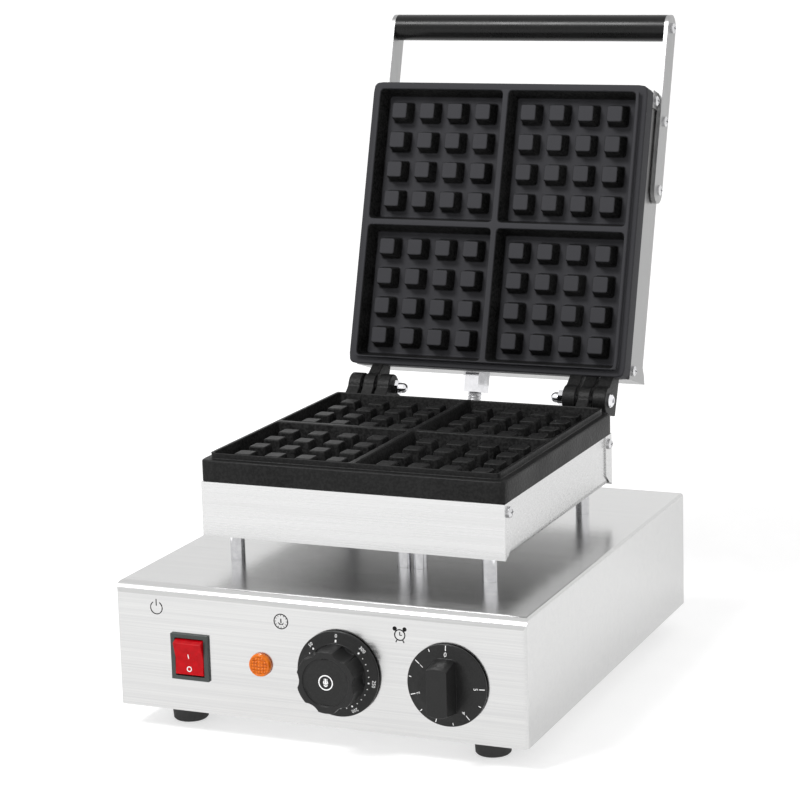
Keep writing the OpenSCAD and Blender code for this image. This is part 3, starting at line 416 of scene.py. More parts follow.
NODE_FINISHES: dict[Finish, tuple[str, ...]] = {
    HOUSING: ("base_shell", "bottom_plate"),
    BACK: ("back_panel",),
    BOX: ("lower_tray", "lower_front_panel", "lower_rear_panel"),
    LID_BOX: ("upper_tray", "upper_front_panel", "upper_rear_panel"),
    ARM: ("left_handle_arm", "right_handle_arm"),
    CHROME: ("support_posts", "wire_tubes", "lower_conduit_fitting", "upper_conduit_fitting",
             "left_hinge_bolt", "left_dome_nut", "right_hinge_bolt", "right_dome_nut"),
    SCREW: ("wire_tube_nuts",),
    CASTING: ("lower_waffle_plate", "upper_waffle_plate"),
    RUBBER: ("feet",),
    KNOB: ("thermostat_knob", "timer_knob", "cable_gland", "cable_gland_nut"),
    HANDLE: ("handle_grip",),
    BEZEL: ("switch_housing", "lamp_body", "lamp_nut"),
    ROCKER: ("switch_rocker",),
    LENS: ("lamp_lens",),
    CONTROL: ("thermostat_body", "thermostat_shaft", "timer_body", "timer_shaft",
              "lower_heater_clamp", "upper_heater_clamp"),
    COPPER: ("thermostat_bulb",),
    TERMINAL: ("terminal_block",),
    SHEATH: ("lower_heating_element", "upper_heating_element"),
    WOOL: ("lower_insulation", "upper_insulation"),
    HOSE: ("wiring_conduit",),
}


# ---------- mesh helpers ----------


def round_point(radius: float, turn: float) -> Point:
    """Returns a point on a circle, turned clockwise by degrees from the top."""
    angle = math.radians(turn)
    return (radius * math.sin(angle), radius * math.cos(angle))


def add_piece(name: str, mesh: bpy.types.Mesh, finish: Finish, smooth: bool = True) -> bpy.types.Object:
    """Adds a mesh to the scene as a piece.

    Args:
        name: Piece name.
        mesh: The mesh, with its points where they stand at rest.
        finish: Finish of the whole piece.
        smooth: True to shade the faces smooth.

    Returns:
        The piece.
    """
    piece = bpy.data.objects.new(name, mesh)
    bpy.context.scene.collection.objects.link(piece)
    mesh.materials.append(finish.material())
    for face in mesh.polygons:
        face.use_smooth = smooth
    return piece


def to_mesh(shape: bmesh.types.BMesh, name: str) -> bpy.types.Mesh:
    """Turns a bmesh into a mesh with its normals facing out.

    Args:
        shape: The bmesh, which is freed.
        name: Name of the mesh.

    Returns:
        The mesh.
    """
    bmesh.ops.recalc_face_normals(shape, faces=shape.faces)
    mesh = bpy.data.meshes.new(name)
    shape.to_mesh(mesh)
    shape.free()
    return mesh


def soften(piece: bpy.types.Object, width: float, segments: int = 2, angle: float = 32.0, weld: bool = False) -> None:
    """Rounds a piece's sharp edges.

    Args:
        piece: The piece.
        width: Width of the rounding, in mm.
        segments: Steps across the rounding.
        angle: Edges that turn by more than this many degrees are rounded.
        weld: True where the mesh comes with split edges.
    """
    if weld:
        joined = piece.modifiers.new("joined", "WELD")
        joined.merge_threshold = WELD_REACH
    rounding = piece.modifiers.new("rounding", "BEVEL")
    rounding.width = width * MM
    rounding.segments = segments
    rounding.limit_method = "ANGLE"
    rounding.angle_limit = math.radians(angle)
    rounding.use_clamp_overlap = False
    rounding.miter_outer = "MITER_ARC"
    even = piece.modifiers.new("even_normals", "WEIGHTED_NORMAL")
    even.keep_sharp = False


# ---------- waffle plates ----------


@dataclass
class WafflePlate:
    """One coated plate: rim, four pockets of sixteen knobs, and its hinge ears, in mm from the hinge axis."""

    name: str
    node: str
    body: Body
    place: Matrix
    finish: Finish
    width: float = 220.0
    depth: float = 217.0
    behind: float = 17.4
    rim_top: float = -0.5
    rim_height: float = 4.1
    shoulder: float = 5.1
    block: float = 15.0
    pocket_half: float = 50.25
    pocket_offset: float = 52.3
    pocket_depth: float = 14.0
    draft: float = 3.4
    pitch: float = 22.65
    knob_top: float = 6.0
    knob_foot: float = 7.8
    knob_height: float = 11.7
    ear_radius: float = 10.0
    hinge_x: float = 85.3
    outer_ear: float = 10.0
    middle_ear: float = 9.0
    ear_gap: float = 2.2
    ear_rounding: float = 0.8
    bore: float = 3.05
    bore_points: int = 24
    open_angle: float = 107.2
    steps: tuple[float, ...] = (-1.0, -0.93, -0.8, -0.45, 0.0, 0.45, 0.8, 0.93, 1.0)

    def loop(self, shape: bmesh.types.BMesh, centre: Point, half: Point, corner: float, z: float,
             steps: tuple[float, ...]) -> list[bmesh.types.BMVert]:
        """Adds one closed loop of points on a rectangle with round corners.

        Args:
            shape: The bmesh that the points go into.
            centre: Middle of the rectangle.
            half: Half its width and half its depth.
            corner: Corner radius.
            z: Height of the loop.
            steps: Places of the points along one side, from -1 to 1.

        Returns:
            The points, in order round the rectangle.
        """
        points = []
        for side in range(4):
            for u in steps[:-1]:
                x, y = ((u, -1.0), (1.0, u), (-u, 1.0), (-1.0, -u))[side]
                x, y = x * half[0], y * half[1]
                over_x, over_y = abs(x) - (half[0] - corner), abs(y) - (half[1] - corner)
                if corner > 0 and over_x > 0 and over_y > 0:
                    k = corner / math.hypot(over_x, over_y)
                    x = math.copysign(half[0] - corner + over_x * k, x)
                    y = math.copysign(half[1] - corner + over_y * k, y)
                points.append(shape.verts.new((centre[0] + x, centre[1] + y, z)))
        return points

    def skin(self, shape: bmesh.types.BMesh, loops: list[list[bmesh.types.BMVert]]) -> None:
        """Joins loops with bands of four-sided faces.

        Args:
            shape: The bmesh.
            loops: Loops of equal length, in order.
        """
        for low, high in zip(loops, loops[1:]):
            for i in range(len(low)):
                j = (i + 1) % len(low)
                shape.faces.new((low[i], low[j], high[j], high[i]))

    def knob(self, shape: bmesh.types.BMesh, x: float, y: float) -> None:
        """Adds one knob and the pocket floor round it.

        Args:
            shape: The bmesh.
            x: Middle of the knob across the plate.
            y: Middle of the knob in the plate's depth.
        """
        floor = self.rim_top - self.pocket_depth
        slope = (self.knob_foot - self.knob_top) / self.knob_height
        high = self.knob_height
        profile = ((self.pitch / 2, 0.0, 0.0), (self.knob_foot + 1.5, 2.9, 0.0), (self.knob_foot + 0.7, 2.4, 0.15),
                   (self.knob_foot + 0.15, 2.1, 0.6), (self.knob_foot - 1.5 * slope, 1.9, 1.5),
                   (self.knob_foot - (high - 1.1) * slope, 1.6, high - 1.1),
                   (self.knob_top - 0.12, 1.6, high - 0.5), (self.knob_top - 0.45, 1.4, high - 0.14),
                   (self.knob_top - 1.0, 1.1, high))
        loops = [self.loop(shape, (x, y), (half, half), corner, floor + z, self.steps) for half, corner, z in profile]
        self.skin(shape, loops)
        shape.faces.new(loops[-1])

    def side_steps(self) -> list[float]:
        """Returns the places of a pocket side's points, level with the points of its four cells."""
        return [(i + u / 2) / 2 for i in CELL_PLACES for u in self.steps[:-1]]

    def pocket(self, shape: bmesh.types.BMesh, sx: int, sy: int, edge: Point) -> None:
        """Adds one pocket with its sixteen knobs, out to the middle of the ridges.

        Args:
            shape: The bmesh.
            sx: Side of the plate across, -1 or 1.
            sy: Side of the plate in depth, -1 or 1.
            edge: Half width and half depth of the flat top of the rim.
        """
        centre = (sx * self.pocket_offset, sy * self.pocket_offset)
        floor = self.rim_top - self.pocket_depth
        for i in CELL_PLACES:
            for j in CELL_PLACES:
                self.knob(shape, centre[0] + i * self.pitch, centre[1] + j * self.pitch)
        steps = tuple(self.side_steps() + [1.0])
        foot = self.pocket_half - self.draft
        rise = self.draft / self.pocket_depth
        profile = ((2 * self.pitch, 0.0, 0.0), (foot - 1.1, 1.2, 0.0), (foot - 0.35, 1.8, 0.2),
                   (foot + 0.15, 2.2, 0.8), (self.pocket_half - rise - 0.1, 3.0, self.pocket_depth - 1.0),
                   (self.pocket_half - 0.12, 3.1, self.pocket_depth - 0.4),
                   (self.pocket_half + 0.12, 3.3, self.pocket_depth - 0.1),
                   (self.pocket_half + 0.4, 3.5, self.pocket_depth))
        loops = [self.loop(shape, centre, (half, half), corner, floor + z, steps) for half, corner, z in profile]
        cell = (edge[0] / 2, edge[1] / 2)
        loops.append(self.loop(shape, (sx * cell[0], sy * cell[1]), cell, 0.0, self.rim_top, steps))
        self.skin(shape, loops)

    def block_mesh(self, shape: bmesh.types.BMesh) -> None:
        """Adds the pockets, the raised rim, the shoulder and the sides of the casting.

        Args:
            shape: The bmesh, with the middle of the plate at its origin.
        """
        half = (self.width / 2, self.depth / 2)
        rim = (half[0] - self.shoulder, half[1] - self.shoulder)
        edge = (rim[0] - 0.45, rim[1] - 0.45)
        for sx in (-1, 1):
            for sy in (-1, 1):
                self.pocket(shape, sx, sy, edge)
        steps = tuple([(s + u) / 2 for s in (-1, 1) for u in self.side_steps()] + [1.0])
        top, low, under = self.rim_top, self.rim_top - self.rim_height, self.rim_top - self.rim_height - self.block
        profile = ((edge, 0.0, top), ((rim[0] - 0.14, rim[1] - 0.14), 4.0, top - 0.12), (rim, 4.4, top - 0.5),
                   (rim, 4.6, low + 0.9), ((rim[0] + 0.25, rim[1] + 0.25), 4.8, low + 0.25),
                   ((rim[0] + 0.9, rim[1] + 0.9), 5.2, low), ((half[0] - 1.2, half[1] - 1.2), 5.5, low),
                   ((half[0] - 0.36, half[1] - 0.36), 5.5, low - 0.34), (half, 5.5, low - 1.2),
                   (half, 5.5, under + 0.6), ((half[0] - 0.5, half[1] - 0.5), 5.0, under))
        loops = [self.loop(shape, (0.0, 0.0), size, corner, z, steps) for size, corner, z in profile]
        self.skin(shape, loops)
        shape.faces.new(loops[-1])

    def from_open(self, y: float, z: float) -> Point:
        """Returns where a point of the other plate, at full opening, lies in this plate's own side view."""
        c, s = math.cos(math.radians(self.open_angle)), math.sin(math.radians(self.open_angle))
        return (y * c - z * s, -(y * s + z * c))

    def ear_outline(self, toe: bool) -> list[Point]:
        """Returns the side view of an ear.

        Args:
            toe: True for the middle ear, which carries the opening stop.

        Returns:
            Points as (y, z) from the hinge axis.
        """
        under = self.rim_top - self.rim_height - self.block
        r = self.ear_radius
        outline: list[Point] = [(-self.behind - 1.0, under + 0.5), (r, under + 3.0), (r, 0.0)]
        if toe:
            wall = -self.behind + 0.05
            low = self.rim_top - self.rim_height
            outline += [(r - 0.1, 1.4), self.from_open(wall, low - 6.6), self.from_open(wall, low - 0.6),
                        (1.2, r - 0.1)]
        first = 96 if toe else 6
        outline += [(r * math.cos(math.radians(a)), r * math.sin(math.radians(a))) for a in range(first, 171, 6)]
        outline.append((-self.behind - 1.0, self.rim_top - self.rim_height - 0.5))
        return outline

    def ear(self, shape: bmesh.types.BMesh, x: float, width: float, toe: bool) -> None:
        """Adds one bored ear.

        Args:
            shape: The bmesh.
            x: Middle of the ear.
            width: Its width.
            toe: True for the middle ear.
        """
        rings = []
        for side in (-1, 1):
            at = x + side * width / 2
            outer = [shape.verts.new((at, y, z)) for y, z in self.ear_outline(toe)]
            turns = [math.tau * k / self.bore_points for k in range(self.bore_points)]
            inner = [shape.verts.new((at, self.bore * math.cos(a), self.bore * math.sin(a))) for a in turns]
            edges = [shape.edges.new((ring[k], ring[(k + 1) % len(ring)]))
                     for ring in (outer, inner) for k in range(len(ring))]
            bmesh.ops.triangle_fill(shape, use_beauty=True, use_dissolve=False, edges=edges)
            rings.append((outer, inner))
        self.skin(shape, [rings[0][0], rings[1][0]])
        self.skin(shape, [rings[0][1], rings[1][1]])

    def paint_wall_shade(self, plate: bpy.types.Object) -> None:
        """Gives the side faces of the pockets and knobs a darker copy of the casting finish, as painted shade on the
        walls.

        Args:
            plate: The plate's piece.
        """
        plate.data.materials.append(CASTING_WALL_SHADE.material())
        up = (self.place.to_3x3() @ Vector((0.0, 0.0, 1.0))).normalized()
        back = self.place.inverted()
        below = self.rim_top - self.rim_height * 0.2
        half_x = self.width / 2 - self.shoulder - 1.0
        half_y = self.depth / 2 - self.shoulder - 0.6
        for face in plate.data.polygons:
            middle = back @ face.center
            inside = abs(middle.x) < half_x and abs(middle.y + self.behind + self.depth / 2) < half_y
            # sideways faces inside the pockets take the darker copy as painted shade
            if inside and middle.z < below and abs(face.normal.dot(up)) < 0.6:
                face.material_index = 1

    def mount(self, piece: bpy.types.Object) -> None:
        """Lets a piece ride on the plate's body."""
        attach(piece, self.body.value)

    def build(self) -> list[bpy.types.Object]:
        """Builds the plate and its ears in place of the plain casting.

        Returns:
            The plate and the ears.
        """
        shape = bmesh.new()
        self.block_mesh(shape)
        bmesh.ops.remove_doubles(shape, verts=shape.verts, dist=0.01)
        shape.transform(self.place @ Matrix.Translation((0.0, -self.behind - self.depth / 2, 0.0)))
        plate = add_piece(self.name, to_mesh(shape, self.name), self.finish)
        self.paint_wall_shade(plate)
        even = plate.modifiers.new("even_normals", "WEIGHTED_NORMAL")
        even.keep_sharp = False
        self.mount(plate)
        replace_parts(plate, self.node)
        ears = bmesh.new()
        off = self.middle_ear / 2 + self.ear_gap + self.outer_ear / 2
        for side in (-1, 1):
            self.ear(ears, -self.hinge_x + side * off, self.outer_ear, False)
        self.ear(ears, self.hinge_x, self.middle_ear, True)
        ears.transform(self.place)
        name = f"{self.name}_ears"
        # the ears take the darker casting copy as painted shade
        pair = add_piece(name, to_mesh(ears, name), CASTING_SHADED)
        soften(pair, self.ear_rounding, 3)
        self.mount(pair)
        return [plate, pair]


# ---------- printed marks ----------


@dataclass
class Marks:
    """Thin printed marks on a face that looks along -Y, with lengths in mm from the middle of the face."""

    name: str
    node: str
    body: Body
    finish: Finish
    centre: Vector
    faces: list[list[Point]] = field(default_factory=list)
    lift: float = 0.00006
    thickness: float = 0.0001
    reach: float = 0.05

    def disc(self, u: float, v: float, r: float, count: int = 16) -> None:
        """Adds a filled dot."""
        self.faces.append([(u + r * math.cos(math.tau * k / count), v + r * math.sin(math.tau * k / count))
                           for k in range(count)])

    def bar(self, u: float, v: float, length: float, width: float, turn: float = 0.0) -> None:
        """Adds a straight bar.

        Args:
            u: Middle, to the right.
            v: Middle, upwards.
            length: Length, upright where it isn't turned.
            width: Width.
            turn: Clockwise turn in degrees.
        """
        s, c = math.sin(math.radians(turn)), math.cos(math.radians(turn))
        x, y = width / 2, length / 2
        self.faces.append([(u + a * c + b * s, v - a * s + b * c) for a, b in ((-x, -y), (x, -y), (x, y), (-x, y))])

    def arc(self, u: float, v: float, r: float, width: float, start: float = 0.0, end: float = 360.0) -> None:
        """Adds part of a ring.

        Args:
            u: Middle, to the right.
            v: Middle, upwards.
            r: Radius of the middle of the line.
            width: Width of the line.
            start: Where it starts, in clockwise degrees from the top.
            end: Where it ends.
        """
        count = max(4, int((end - start) / 9))
        inner, outer = r - width / 2, r + width / 2
        for k in range(count):
            a, b = (start + (end - start) * (k + i) / count for i in (0, 1))
            corners = (round_point(*corner) for corner in ((outer, a), (outer, b), (inner, b), (inner, a)))
            self.faces.append([(u + x, v + y) for x, y in corners])

    def digits(self, word: str, u: float, v: float, size: float, turn: float = 0.0) -> None:
        """Adds a number.

        Args:
            word: The digits.
            u: Middle, to the right.
            v: Middle, upwards.
            size: Height of the type.
            turn: Clockwise turn in degrees.
        """
        curve = bpy.data.curves.new("digits", "FONT")
        curve.body, curve.size, curve.align_x, curve.align_y, curve.resolution_u = word, size, "CENTER", "CENTER", 2
        holder = bpy.data.objects.new("digits", curve)
        bpy.context.scene.collection.objects.link(holder)
        bpy.context.view_layer.update()
        mesh = holder.to_mesh()
        s, c = math.sin(math.radians(turn)), math.cos(math.radians(turn))
        for face in mesh.polygons:
            flat = [mesh.vertices[i].co for i in face.vertices]
            self.faces.append([(u + p.x * c + p.y * s, v - p.x * s + p.y * c) for p in flat])
        holder.to_mesh_clear()
        bpy.data.objects.remove(holder)

    def build(self, nodes: dict[str, bpy.types.Object]) -> bpy.types.Object:
        """Lays the marks on the node's surface as a thin film.

        Args:
            nodes: The frame's nodes by name.

        Returns:
            The piece.
        """
        under = nodes[self.node].data
        tree = BVHTree.FromPolygons([v.co for v in under.vertices], [tuple(p.vertices) for p in under.polygons])
        shape = bmesh.new()
        for face in self.faces:
            points = []
            for u, v in face:
                x, z = self.centre.x + u * MM, self.centre.z + v * MM
                hit = tree.ray_cast(Vector((x, self.centre.y - self.reach, z)), Vector((0.0, 1.0, 0.0)))[0]
                points.append(shape.verts.new((x, (hit.y if hit else self.centre.y) - self.lift, z)))
            if len(points) > 2:
                shape.faces.new(points)
        piece = add_piece(self.name, to_mesh(shape, self.name), self.finish, False)
        film = piece.modifiers.new("film", "SOLIDIFY")
        film.thickness, film.offset = self.thickness, -1.0
        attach(piece, self.body.value)
        return piece


@dataclass
class Controls:
    """The two dials' scales, the rocker's signs, the lamp's lens and the signs above the controls."""

    nodes: dict[str, bpy.types.Object]
    thermostat_radius: float = 28.5
    thermostat_first: float = 45.0
    thermostat_step: float = 54.0
    timer_radius: float = 27.0
    timer_step: float = 27.0
    lens_points: int = 56
    lens_cells: int = 7
    power_sign: Point = (-115.0, 69.0)
    thermometer_sign: Point = (-24.0, 68.0)
    clock_sign: Point = (59.5, 66.9)

    def face_centre(self, node: str) -> Vector:
        """Returns the middle of a node's front face."""
        low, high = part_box(node)
        return Vector(((low.x + high.x) / 2, low.y, (low.z + high.z) / 2))

    def on_face(self, name: str, node: str, body: Body) -> Marks:
        """Starts a piece of white marks on a node's front face."""
        return Marks(name, node, body, INK, self.face_centre(node))

    def thermostat_marks(self) -> bpy.types.Object:
        """Prints the thermostat's scale and the sign on its grip.

        Returns:
            The piece.
        """
        marks = self.on_face("thermostat_scale", "thermostat_knob", Body.THERMOSTAT)
        r = self.thermostat_radius
        marks.digits("0", 0.0, 0.9 * r, 3.4)
        marks.bar(0.0, 0.79 * r, 1.6, 1.1)
        words = ("300", "250", "200", "150", "100", "50")
        for step, word in enumerate(words):
            turn = self.thermostat_first + self.thermostat_step * step
            marks.digits(word, *round_point(0.9 * r, turn), 3.3, turn)
            marks.disc(*round_point(0.79 * r, turn), 0.65)
            if word != words[-1]:
                for k in range(1, 5):
                    marks.disc(*round_point(0.79 * r, turn + self.thermostat_step * k / 5), 0.36, 10)
        marks.arc(0.0, 0.0, 4.7, 0.75)
        marks.arc(0.0, 0.0, 1.5, 0.55, 30.0, 330.0)
        marks.disc(0.0, -1.3, 1.45)
        marks.bar(0.0, 0.9, 3.6, 0.9)
        marks.bar(-1.0, 1.3, 2.6, 0.35)
        marks.bar(1.0, 1.3, 2.6, 0.35)
        return marks.build(self.nodes)

    def timer_marks(self) -> bpy.types.Object:
        """Prints the timer's scale.

        Returns:
            The piece.
        """
        marks = self.on_face("timer_scale", "timer_knob", Body.TIMER)
        r = self.timer_radius
        marks.bar(0.0, 0.92 * r, 3.4, 0.55)
        marks.digits("0", 0.0, 0.765 * r, 4.2)
        for k in range(1, 11):
            turn = 360.0 - self.timer_step * k
            whole = k % 2 == 0
            long = 3.6 if whole else 1.7
            marks.bar(*round_point(0.96 * r - long / 2, turn), long, 0.5, turn)
            if whole:
                marks.digits(str(k // 2), *round_point(0.74 * r, turn), 3.6, turn)
        return marks.build(self.nodes)

    def rocker_marks(self) -> bpy.types.Object:
        """Prints the on and off signs on the rocker.

        Returns:
            The piece.
        """
        marks = self.on_face("rocker_signs", "switch_rocker", Body.ROCKER)
        marks.bar(-0.4, 0.9, 3.2, 0.6)
        marks.arc(0.0, -7.6, 1.55, 0.55)
        return marks.build(self.nodes)

    def panel_marks(self) -> bpy.types.Object:
        """Prints the signs above the switch, the thermostat and the timer.

        Returns:
            The piece.
        """
        low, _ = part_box("base_shell")
        marks = Marks("panel_signs", "base_shell", Body.BASE, PRINT, Vector((0.0, low.y, low.z)))
        u, v = self.power_sign
        marks.arc(u, v, 4.3, 0.62, 32.0, 328.0)
        marks.bar(u, v + 3.6, 4.6, 0.7)
        u, v = self.thermometer_sign
        marks.arc(u, v, 4.9, 0.62)
        for k in range(12):
            x, y = round_point(4.0, 30.0 * k)
            marks.bar(u + x, v + y, 0.8, 0.45, 30.0 * k)
        bulb = ((-2.2, -0.5), (0.0, -2.0), (2.2, -0.5), (1.2, -2.2), (-1.2, -2.2))
        marks.faces.append([(u + x, v + y) for x, y in bulb])
        marks.bar(u, v + 0.4, 3.0, 0.8)
        u, v = self.clock_sign
        marks.arc(u, v, 3.5, 0.7)
        for side in (-1, 1):
            marks.disc(u + side * 3.4, v + 4.0, 1.45)
            marks.bar(u + side * 2.4, v - 4.1, 2.0, 0.7, -side * 30.0)
        marks.bar(u, v + 0.9, 2.3, 0.55)
        marks.bar(u + 0.7, v - 0.1, 1.6, 0.5, 90.0)
        return marks.build(self.nodes)

    def lens_rise(self, a: float, b: float, away: float) -> float:
        """Returns how far the lens stands out at a point.

        Args:
            a: Place across the pillow rows, from -1 to 1.
            b: Place up the pillow rows, from -1 to 1.
            away: Distance from the middle, as a share of the radius.

        Returns:
            The rise, as a share of the lens's depth.
        """
        rise = 0.5 + 0.12 * (1 - away * away)
        if away < 0.76:
            across, up = (math.sin(math.pi * self.lens_cells * (place + 1) / 2) for place in (a, b))
            rise += 0.26 * math.sqrt(abs(across * up))
        if away > 0.72:
            rise += 0.26 * max(0.0, 1 - ((away - 0.86) / 0.14) ** 2)
        if away > 0.94:
            rise *= 1 - 0.35 * (away - 0.94) / 0.06
        return min(rise, 1.0)

    def lens(self) -> bpy.types.Object:
        """Builds the lamp's lens: a round cap with a raised rim and rows of small square pillows.

        Returns:
            The piece.
        """
        middle = self.face_centre("lamp_lens")
        low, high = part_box("lamp_lens")
        radius, proud = (high.x - low.x) / 2, high.y - low.y
        count = self.lens_points
        shape = bmesh.new()
        grid = []
        for j in range(count + 1):
            row = []
            for i in range(count + 1):
                a, b = 2 * i / count - 1, 2 * j / count - 1
                x, y = a * math.sqrt(1 - b * b / 2), b * math.sqrt(1 - a * a / 2)
                front = high.y - self.lens_rise(a, b, math.hypot(x, y)) * proud
                row.append(shape.verts.new((middle.x + x * radius, front, middle.z + y * radius)))
            grid.append(row)
        for j in range(count):
            for i in range(count):
                shape.faces.new((grid[j][i], grid[j][i + 1], grid[j + 1][i + 1], grid[j + 1][i]))
        edge = grid[0][:-1] + [r[-1] for r in grid[:-1]] + grid[-1][:0:-1] + [r[0] for r in grid[:0:-1]]
        back = [shape.verts.new((v.co.x, high.y, v.co.z)) for v in edge]
        for k in range(len(edge)):
            n = (k + 1) % len(edge)
            shape.faces.new((edge[k], edge[n], back[n], back[k]))
        shape.faces.new(back)
        piece = add_piece("lamp_gridded_lens", to_mesh(shape, "lamp_gridded_lens"), LENS)
        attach(piece, Body.BASE.value)
        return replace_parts(piece, "lamp_lens")

    def build(self) -> list[bpy.types.Object]:
        """Builds every mark and the lens.

        Returns:
            The pieces.
        """
        return [self.thermostat_marks(), self.timer_marks(), self.rocker_marks(), self.panel_marks(), self.lens()]


# ---------- conduit ----------


@dataclass
class Conduit:
    """The ribbed metal hose between the two boxes."""

    nodes: dict[str, bpy.types.Object]
    lean: float = 17.2
    radius: float = 5.2
    rib: float = 2.3
    rib_depth: float = 0.55
    rib_rings: int = 6
    around: int = 24
    straight: float = 3.0
    bend_points: int = 24

    def end(self, node: str, along: Vector) -> Vector:
        """Returns the middle of a fitting's outer end.

        Args:
            node: The fitting.
            along: The direction that it points in.

        Returns:
            The middle of its end face.
        """
        points = [v.co for v in self.nodes[node].data.vertices]
        far = max(p.dot(along) for p in points)
        face = [p for p in points if p.dot(along) > far - 0.05 * MM]
        up = along.cross(ACROSS)
        middle = [(max(p.dot(d) for p in face) + min(p.dot(d) for p in face)) / 2 for d in (ACROSS, up)]
        return ACROSS * middle[0] + up * middle[1] + along * far

    def path(self) -> list[Vector]:
        """Returns the hose's centre line from the lower fitting to the upper one."""
        lean = math.radians(self.lean)
        first, last_way = Vector((0.0, 1.0, 0.0)), Vector((0.0, -math.sin(lean), -math.cos(lean)))
        p0, p1 = self.end("lower_conduit_fitting", first), self.end("upper_conduit_fitting", last_way)
        run = (p1.z - p0.z) / math.cos(lean)
        corner = p1 + last_way * run
        leg = min(corner.y - p0.y, run) - self.straight * MM
        a, b = corner - first * leg, corner - last_way * leg
        parts = (i / self.bend_points for i in range(self.bend_points + 1))
        bend = [a * (1 - k) ** 2 + corner * 2 * k * (1 - k) + b * k * k for k in parts]
        return [p0] + bend + [p1]

    def build(self) -> list[bpy.types.Object]:
        """Builds the hose.

        Returns:
            The hose.
        """
        rough = self.path()
        lengths = [0.0]
        for a, b in zip(rough, rough[1:]):
            lengths.append(lengths[-1] + (b - a).length)
        count = int(lengths[-1] / (self.rib * MM)) * self.rib_rings
        turns = [math.tau * n / self.around for n in range(self.around)]
        shape = bmesh.new()
        rings = []
        for k in range(count + 1):
            far = lengths[-1] * k / count
            i = max(j for j in range(len(rough) - 1) if lengths[j] <= far + 1e-9)
            part = (far - lengths[i]) / max(1e-9, lengths[i + 1] - lengths[i])
            at = rough[i].lerp(rough[i + 1], min(1.0, part))
            before, after = rough[max(0, i - (part < 0.5))], rough[min(len(rough) - 1, i + 1 + (part >= 0.5))]
            up = (after - before).normalized().cross(ACROSS)
            valley = (0.5 + 0.5 * math.cos(math.tau * k / self.rib_rings)) ** 1.5
            r = (self.radius - self.rib_depth * valley) * MM
            rings.append([shape.verts.new(at + ACROSS * r * math.cos(a) + up * r * math.sin(a)) for a in turns])
        for low, high in zip(rings, rings[1:]):
            for n in range(self.around):
                m = (n + 1) % self.around
                shape.faces.new((low[n], low[m], high[m], high[n]))
        shape.faces.new(rings[0])
        shape.faces.new(rings[-1])
        hose = add_piece("ribbed_hose", to_mesh(shape, "ribbed_hose"), HOSE)
        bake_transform(hose)
        return [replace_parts(hose, "wiring_conduit")]


# ---------- carried-over nodes ----------


@dataclass
class Carried:
    """The nodes that keep their shape and take a finish."""

    nodes: dict[str, bpy.types.Object]
    rounded: tuple[tuple[str, float], ...] = (("thermostat_knob", 0.5), ("timer_knob", 0.45), ("switch_rocker", 0.5),
                                              ("switch_housing", 0.25))

    def dress(self) -> int:
        """Gives each node its finish and rounds the moulded ones.

        Returns:
            The number of nodes.
        """
        finish_of = {node: finish for finish, names in NODE_FINISHES.items() for node in names}
        for name, piece in self.nodes.items():
            finish = finish_of.get(name, SCREW)
            if not piece.material_slots:
                piece.data.materials.append(finish.material())
            for place in piece.material_slots:
                place.material = finish.material()
        for name, width in self.rounded:
            soften(self.nodes[name], width, 2, 38.0, True)
        return len(self.nodes)


# ---------- studio ----------


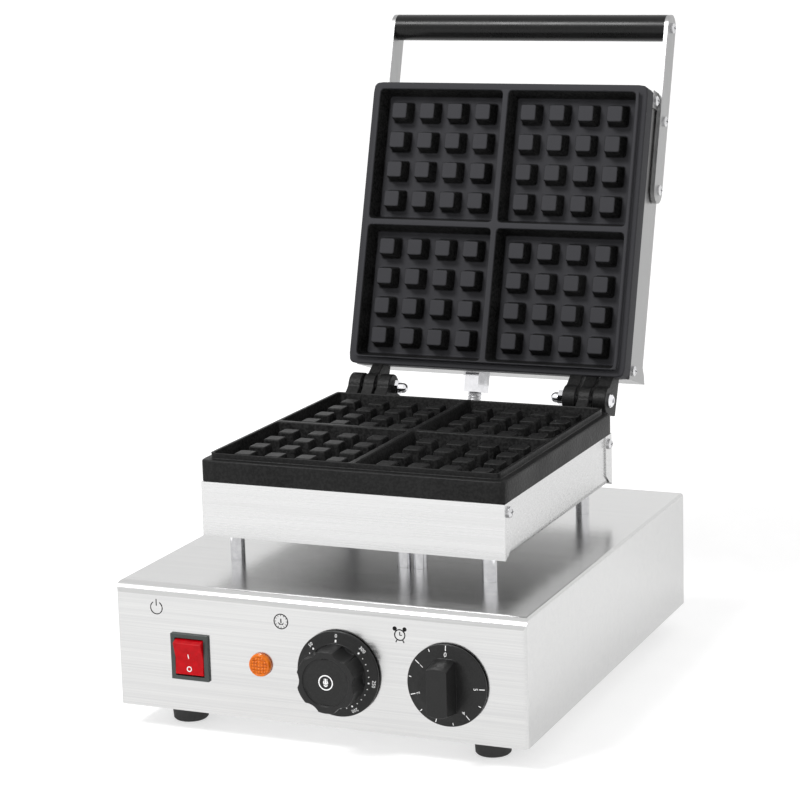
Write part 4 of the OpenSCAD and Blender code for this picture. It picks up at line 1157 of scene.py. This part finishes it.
@dataclass
class Studio:
    """Pale floor, soft light and the camera, in metres and degrees."""

    floor_half: float = 30.0
    floor_drop: float = 0.0002
    floor_back: float = 14.0
    cove: float = 4.0
    backdrop: float = 9.0
    world: float = 1.06
    fill: float = 0.7
    key_place: Triple = (-0.8, -1.4, 2.0)
    key_target: Triple = (0.0, 0.0, 0.25)
    key_size: float = 0.7
    key_power: float = 40.0
    focal: float = 112.38
    shift: Point = (-0.082, -0.0424)
    camera_place: Triple = (0.6716, -1.3899, 0.5424)
    camera_turn: Triple = (22.05, -11.28, -1.29)

    def floor(self) -> bpy.types.Object:
        """Lays the floor under the feet, rising into a backdrop far behind.

        Returns:
            The piece.
        """
        shape = bmesh.new()
        profile = [(-self.floor_half, 0.0), (self.floor_back, 0.0)]
        for turn in range(10, 91, 10):
            x, y = round_point(self.cove, turn)
            profile.append((self.floor_back + x, self.cove - y))
        profile.append((self.floor_back + self.cove, self.backdrop))
        rows = [[shape.verts.new((side * self.floor_half, y, z - self.floor_drop)) for side in (-1, 1)]
                for y, z in profile]
        for low, top in zip(rows, rows[1:]):
            shape.faces.new((low[0], low[1], top[1], top[0]))
        floor = add_piece("studio_floor", to_mesh(shape, "studio_floor"), FLOOR)
        return floor

    def key(self) -> None:
        """Hangs the soft box above the left front."""
        lamp = bpy.data.lights.new("key", "AREA")
        lamp.size, lamp.energy = self.key_size, self.key_power
        holder = bpy.data.objects.new("key", lamp)
        bpy.context.scene.collection.objects.link(holder)
        holder.location = self.key_place
        way = Vector(self.key_target) - Vector(self.key_place)
        holder.rotation_euler = way.to_track_quat("-Z", "Y").to_euler()

    def camera(self) -> None:
        """Sets the camera in front, to the right and above."""
        low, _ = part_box("base_shell")
        lens = bpy.data.cameras.new("camera")
        lens.sensor_width, lens.lens = 36.0, self.focal
        lens.shift_x, lens.shift_y = self.shift
        lens.clip_start, lens.clip_end = 0.05, 80.0
        holder = bpy.data.objects.new("camera", lens)
        bpy.context.scene.collection.objects.link(holder)
        x, y, z = self.camera_place
        place = Vector((x, low.y + y, low.z + z))
        pan, tilt, roll = self.camera_turn
        holder.matrix_world = (Matrix.Translation(place) @ Matrix.Rotation(math.radians(pan), 4, "Z")
                               @ Matrix.Rotation(math.radians(90.0 + tilt), 4, "X")
                               @ Matrix.Rotation(math.radians(roll), 4, "Z"))
        bpy.context.scene.camera = holder

    def build(self) -> None:
        """Builds the floor, the light, the even white surround and the camera."""
        scene = bpy.context.scene
        scene.view_settings.view_transform = "Standard"
        surround = bpy.data.worlds.new("surround")
        surround.use_nodes = True
        kit = Tree(surround.node_tree)
        sky = surround.node_tree.nodes["Background"]
        sky.inputs["Color"].default_value = (*grey(1.0), 1.0)
        diffuse = kit.add("ShaderNodeLightPath").outputs["Is Diffuse Ray"]
        kit.link(kit.spread(diffuse, self.world, self.fill, 0.0, 1.0), sky.inputs["Strength"])
        scene.world = surround
        self.floor()
        self.key()
        self.camera()


def lid_place(record: dict) -> tuple[Matrix, Matrix]:
    """Works out where the two plates' own frames stand.

    Args:
        record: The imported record.

    Returns:
        The lower plate's and the upper plate's place, from mm to metres, with the lid open.
    """
    hinge = next(j for j in record["behaviour"]["joints"] if j["name"] == "lid_hinge")
    axis = Matrix.Translation(Vector(hinge["pos_m"]))
    scale = Matrix.Scale(MM, 4)
    opened = Matrix.Rotation(math.radians(-hinge["range_deg"][1]), 4, "X")
    return axis @ scale, axis @ opened @ Matrix.Rotation(math.pi, 4, "Y") @ scale


def main() -> None:
    """Builds the waffle maker's looks and the studio."""
    logging.basicConfig(level=logging.INFO, format="%(name)s: %(message)s")
    for old in list(bpy.data.objects):
        bpy.data.objects.remove(old)
    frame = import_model()
    nodes = frame["nodes"]
    lower, upper = lid_place(frame["record"])
    LOG.info("dressed %d nodes", Carried(nodes).dress())
    pieces = WafflePlate("lower_plate", "lower_waffle_plate", Body.BASE, lower, CASTING_SHADED).build()
    pieces += WafflePlate("upper_plate", "upper_waffle_plate", Body.LID, upper, CASTING).build()
    pieces += Controls(nodes).build()
    pieces += Conduit(nodes).build()
    for piece in pieces:
        LOG.info("built %s, %d points", piece.name, len(piece.data.vertices))
    Studio().build()


if __name__ == "__main__":
    main()
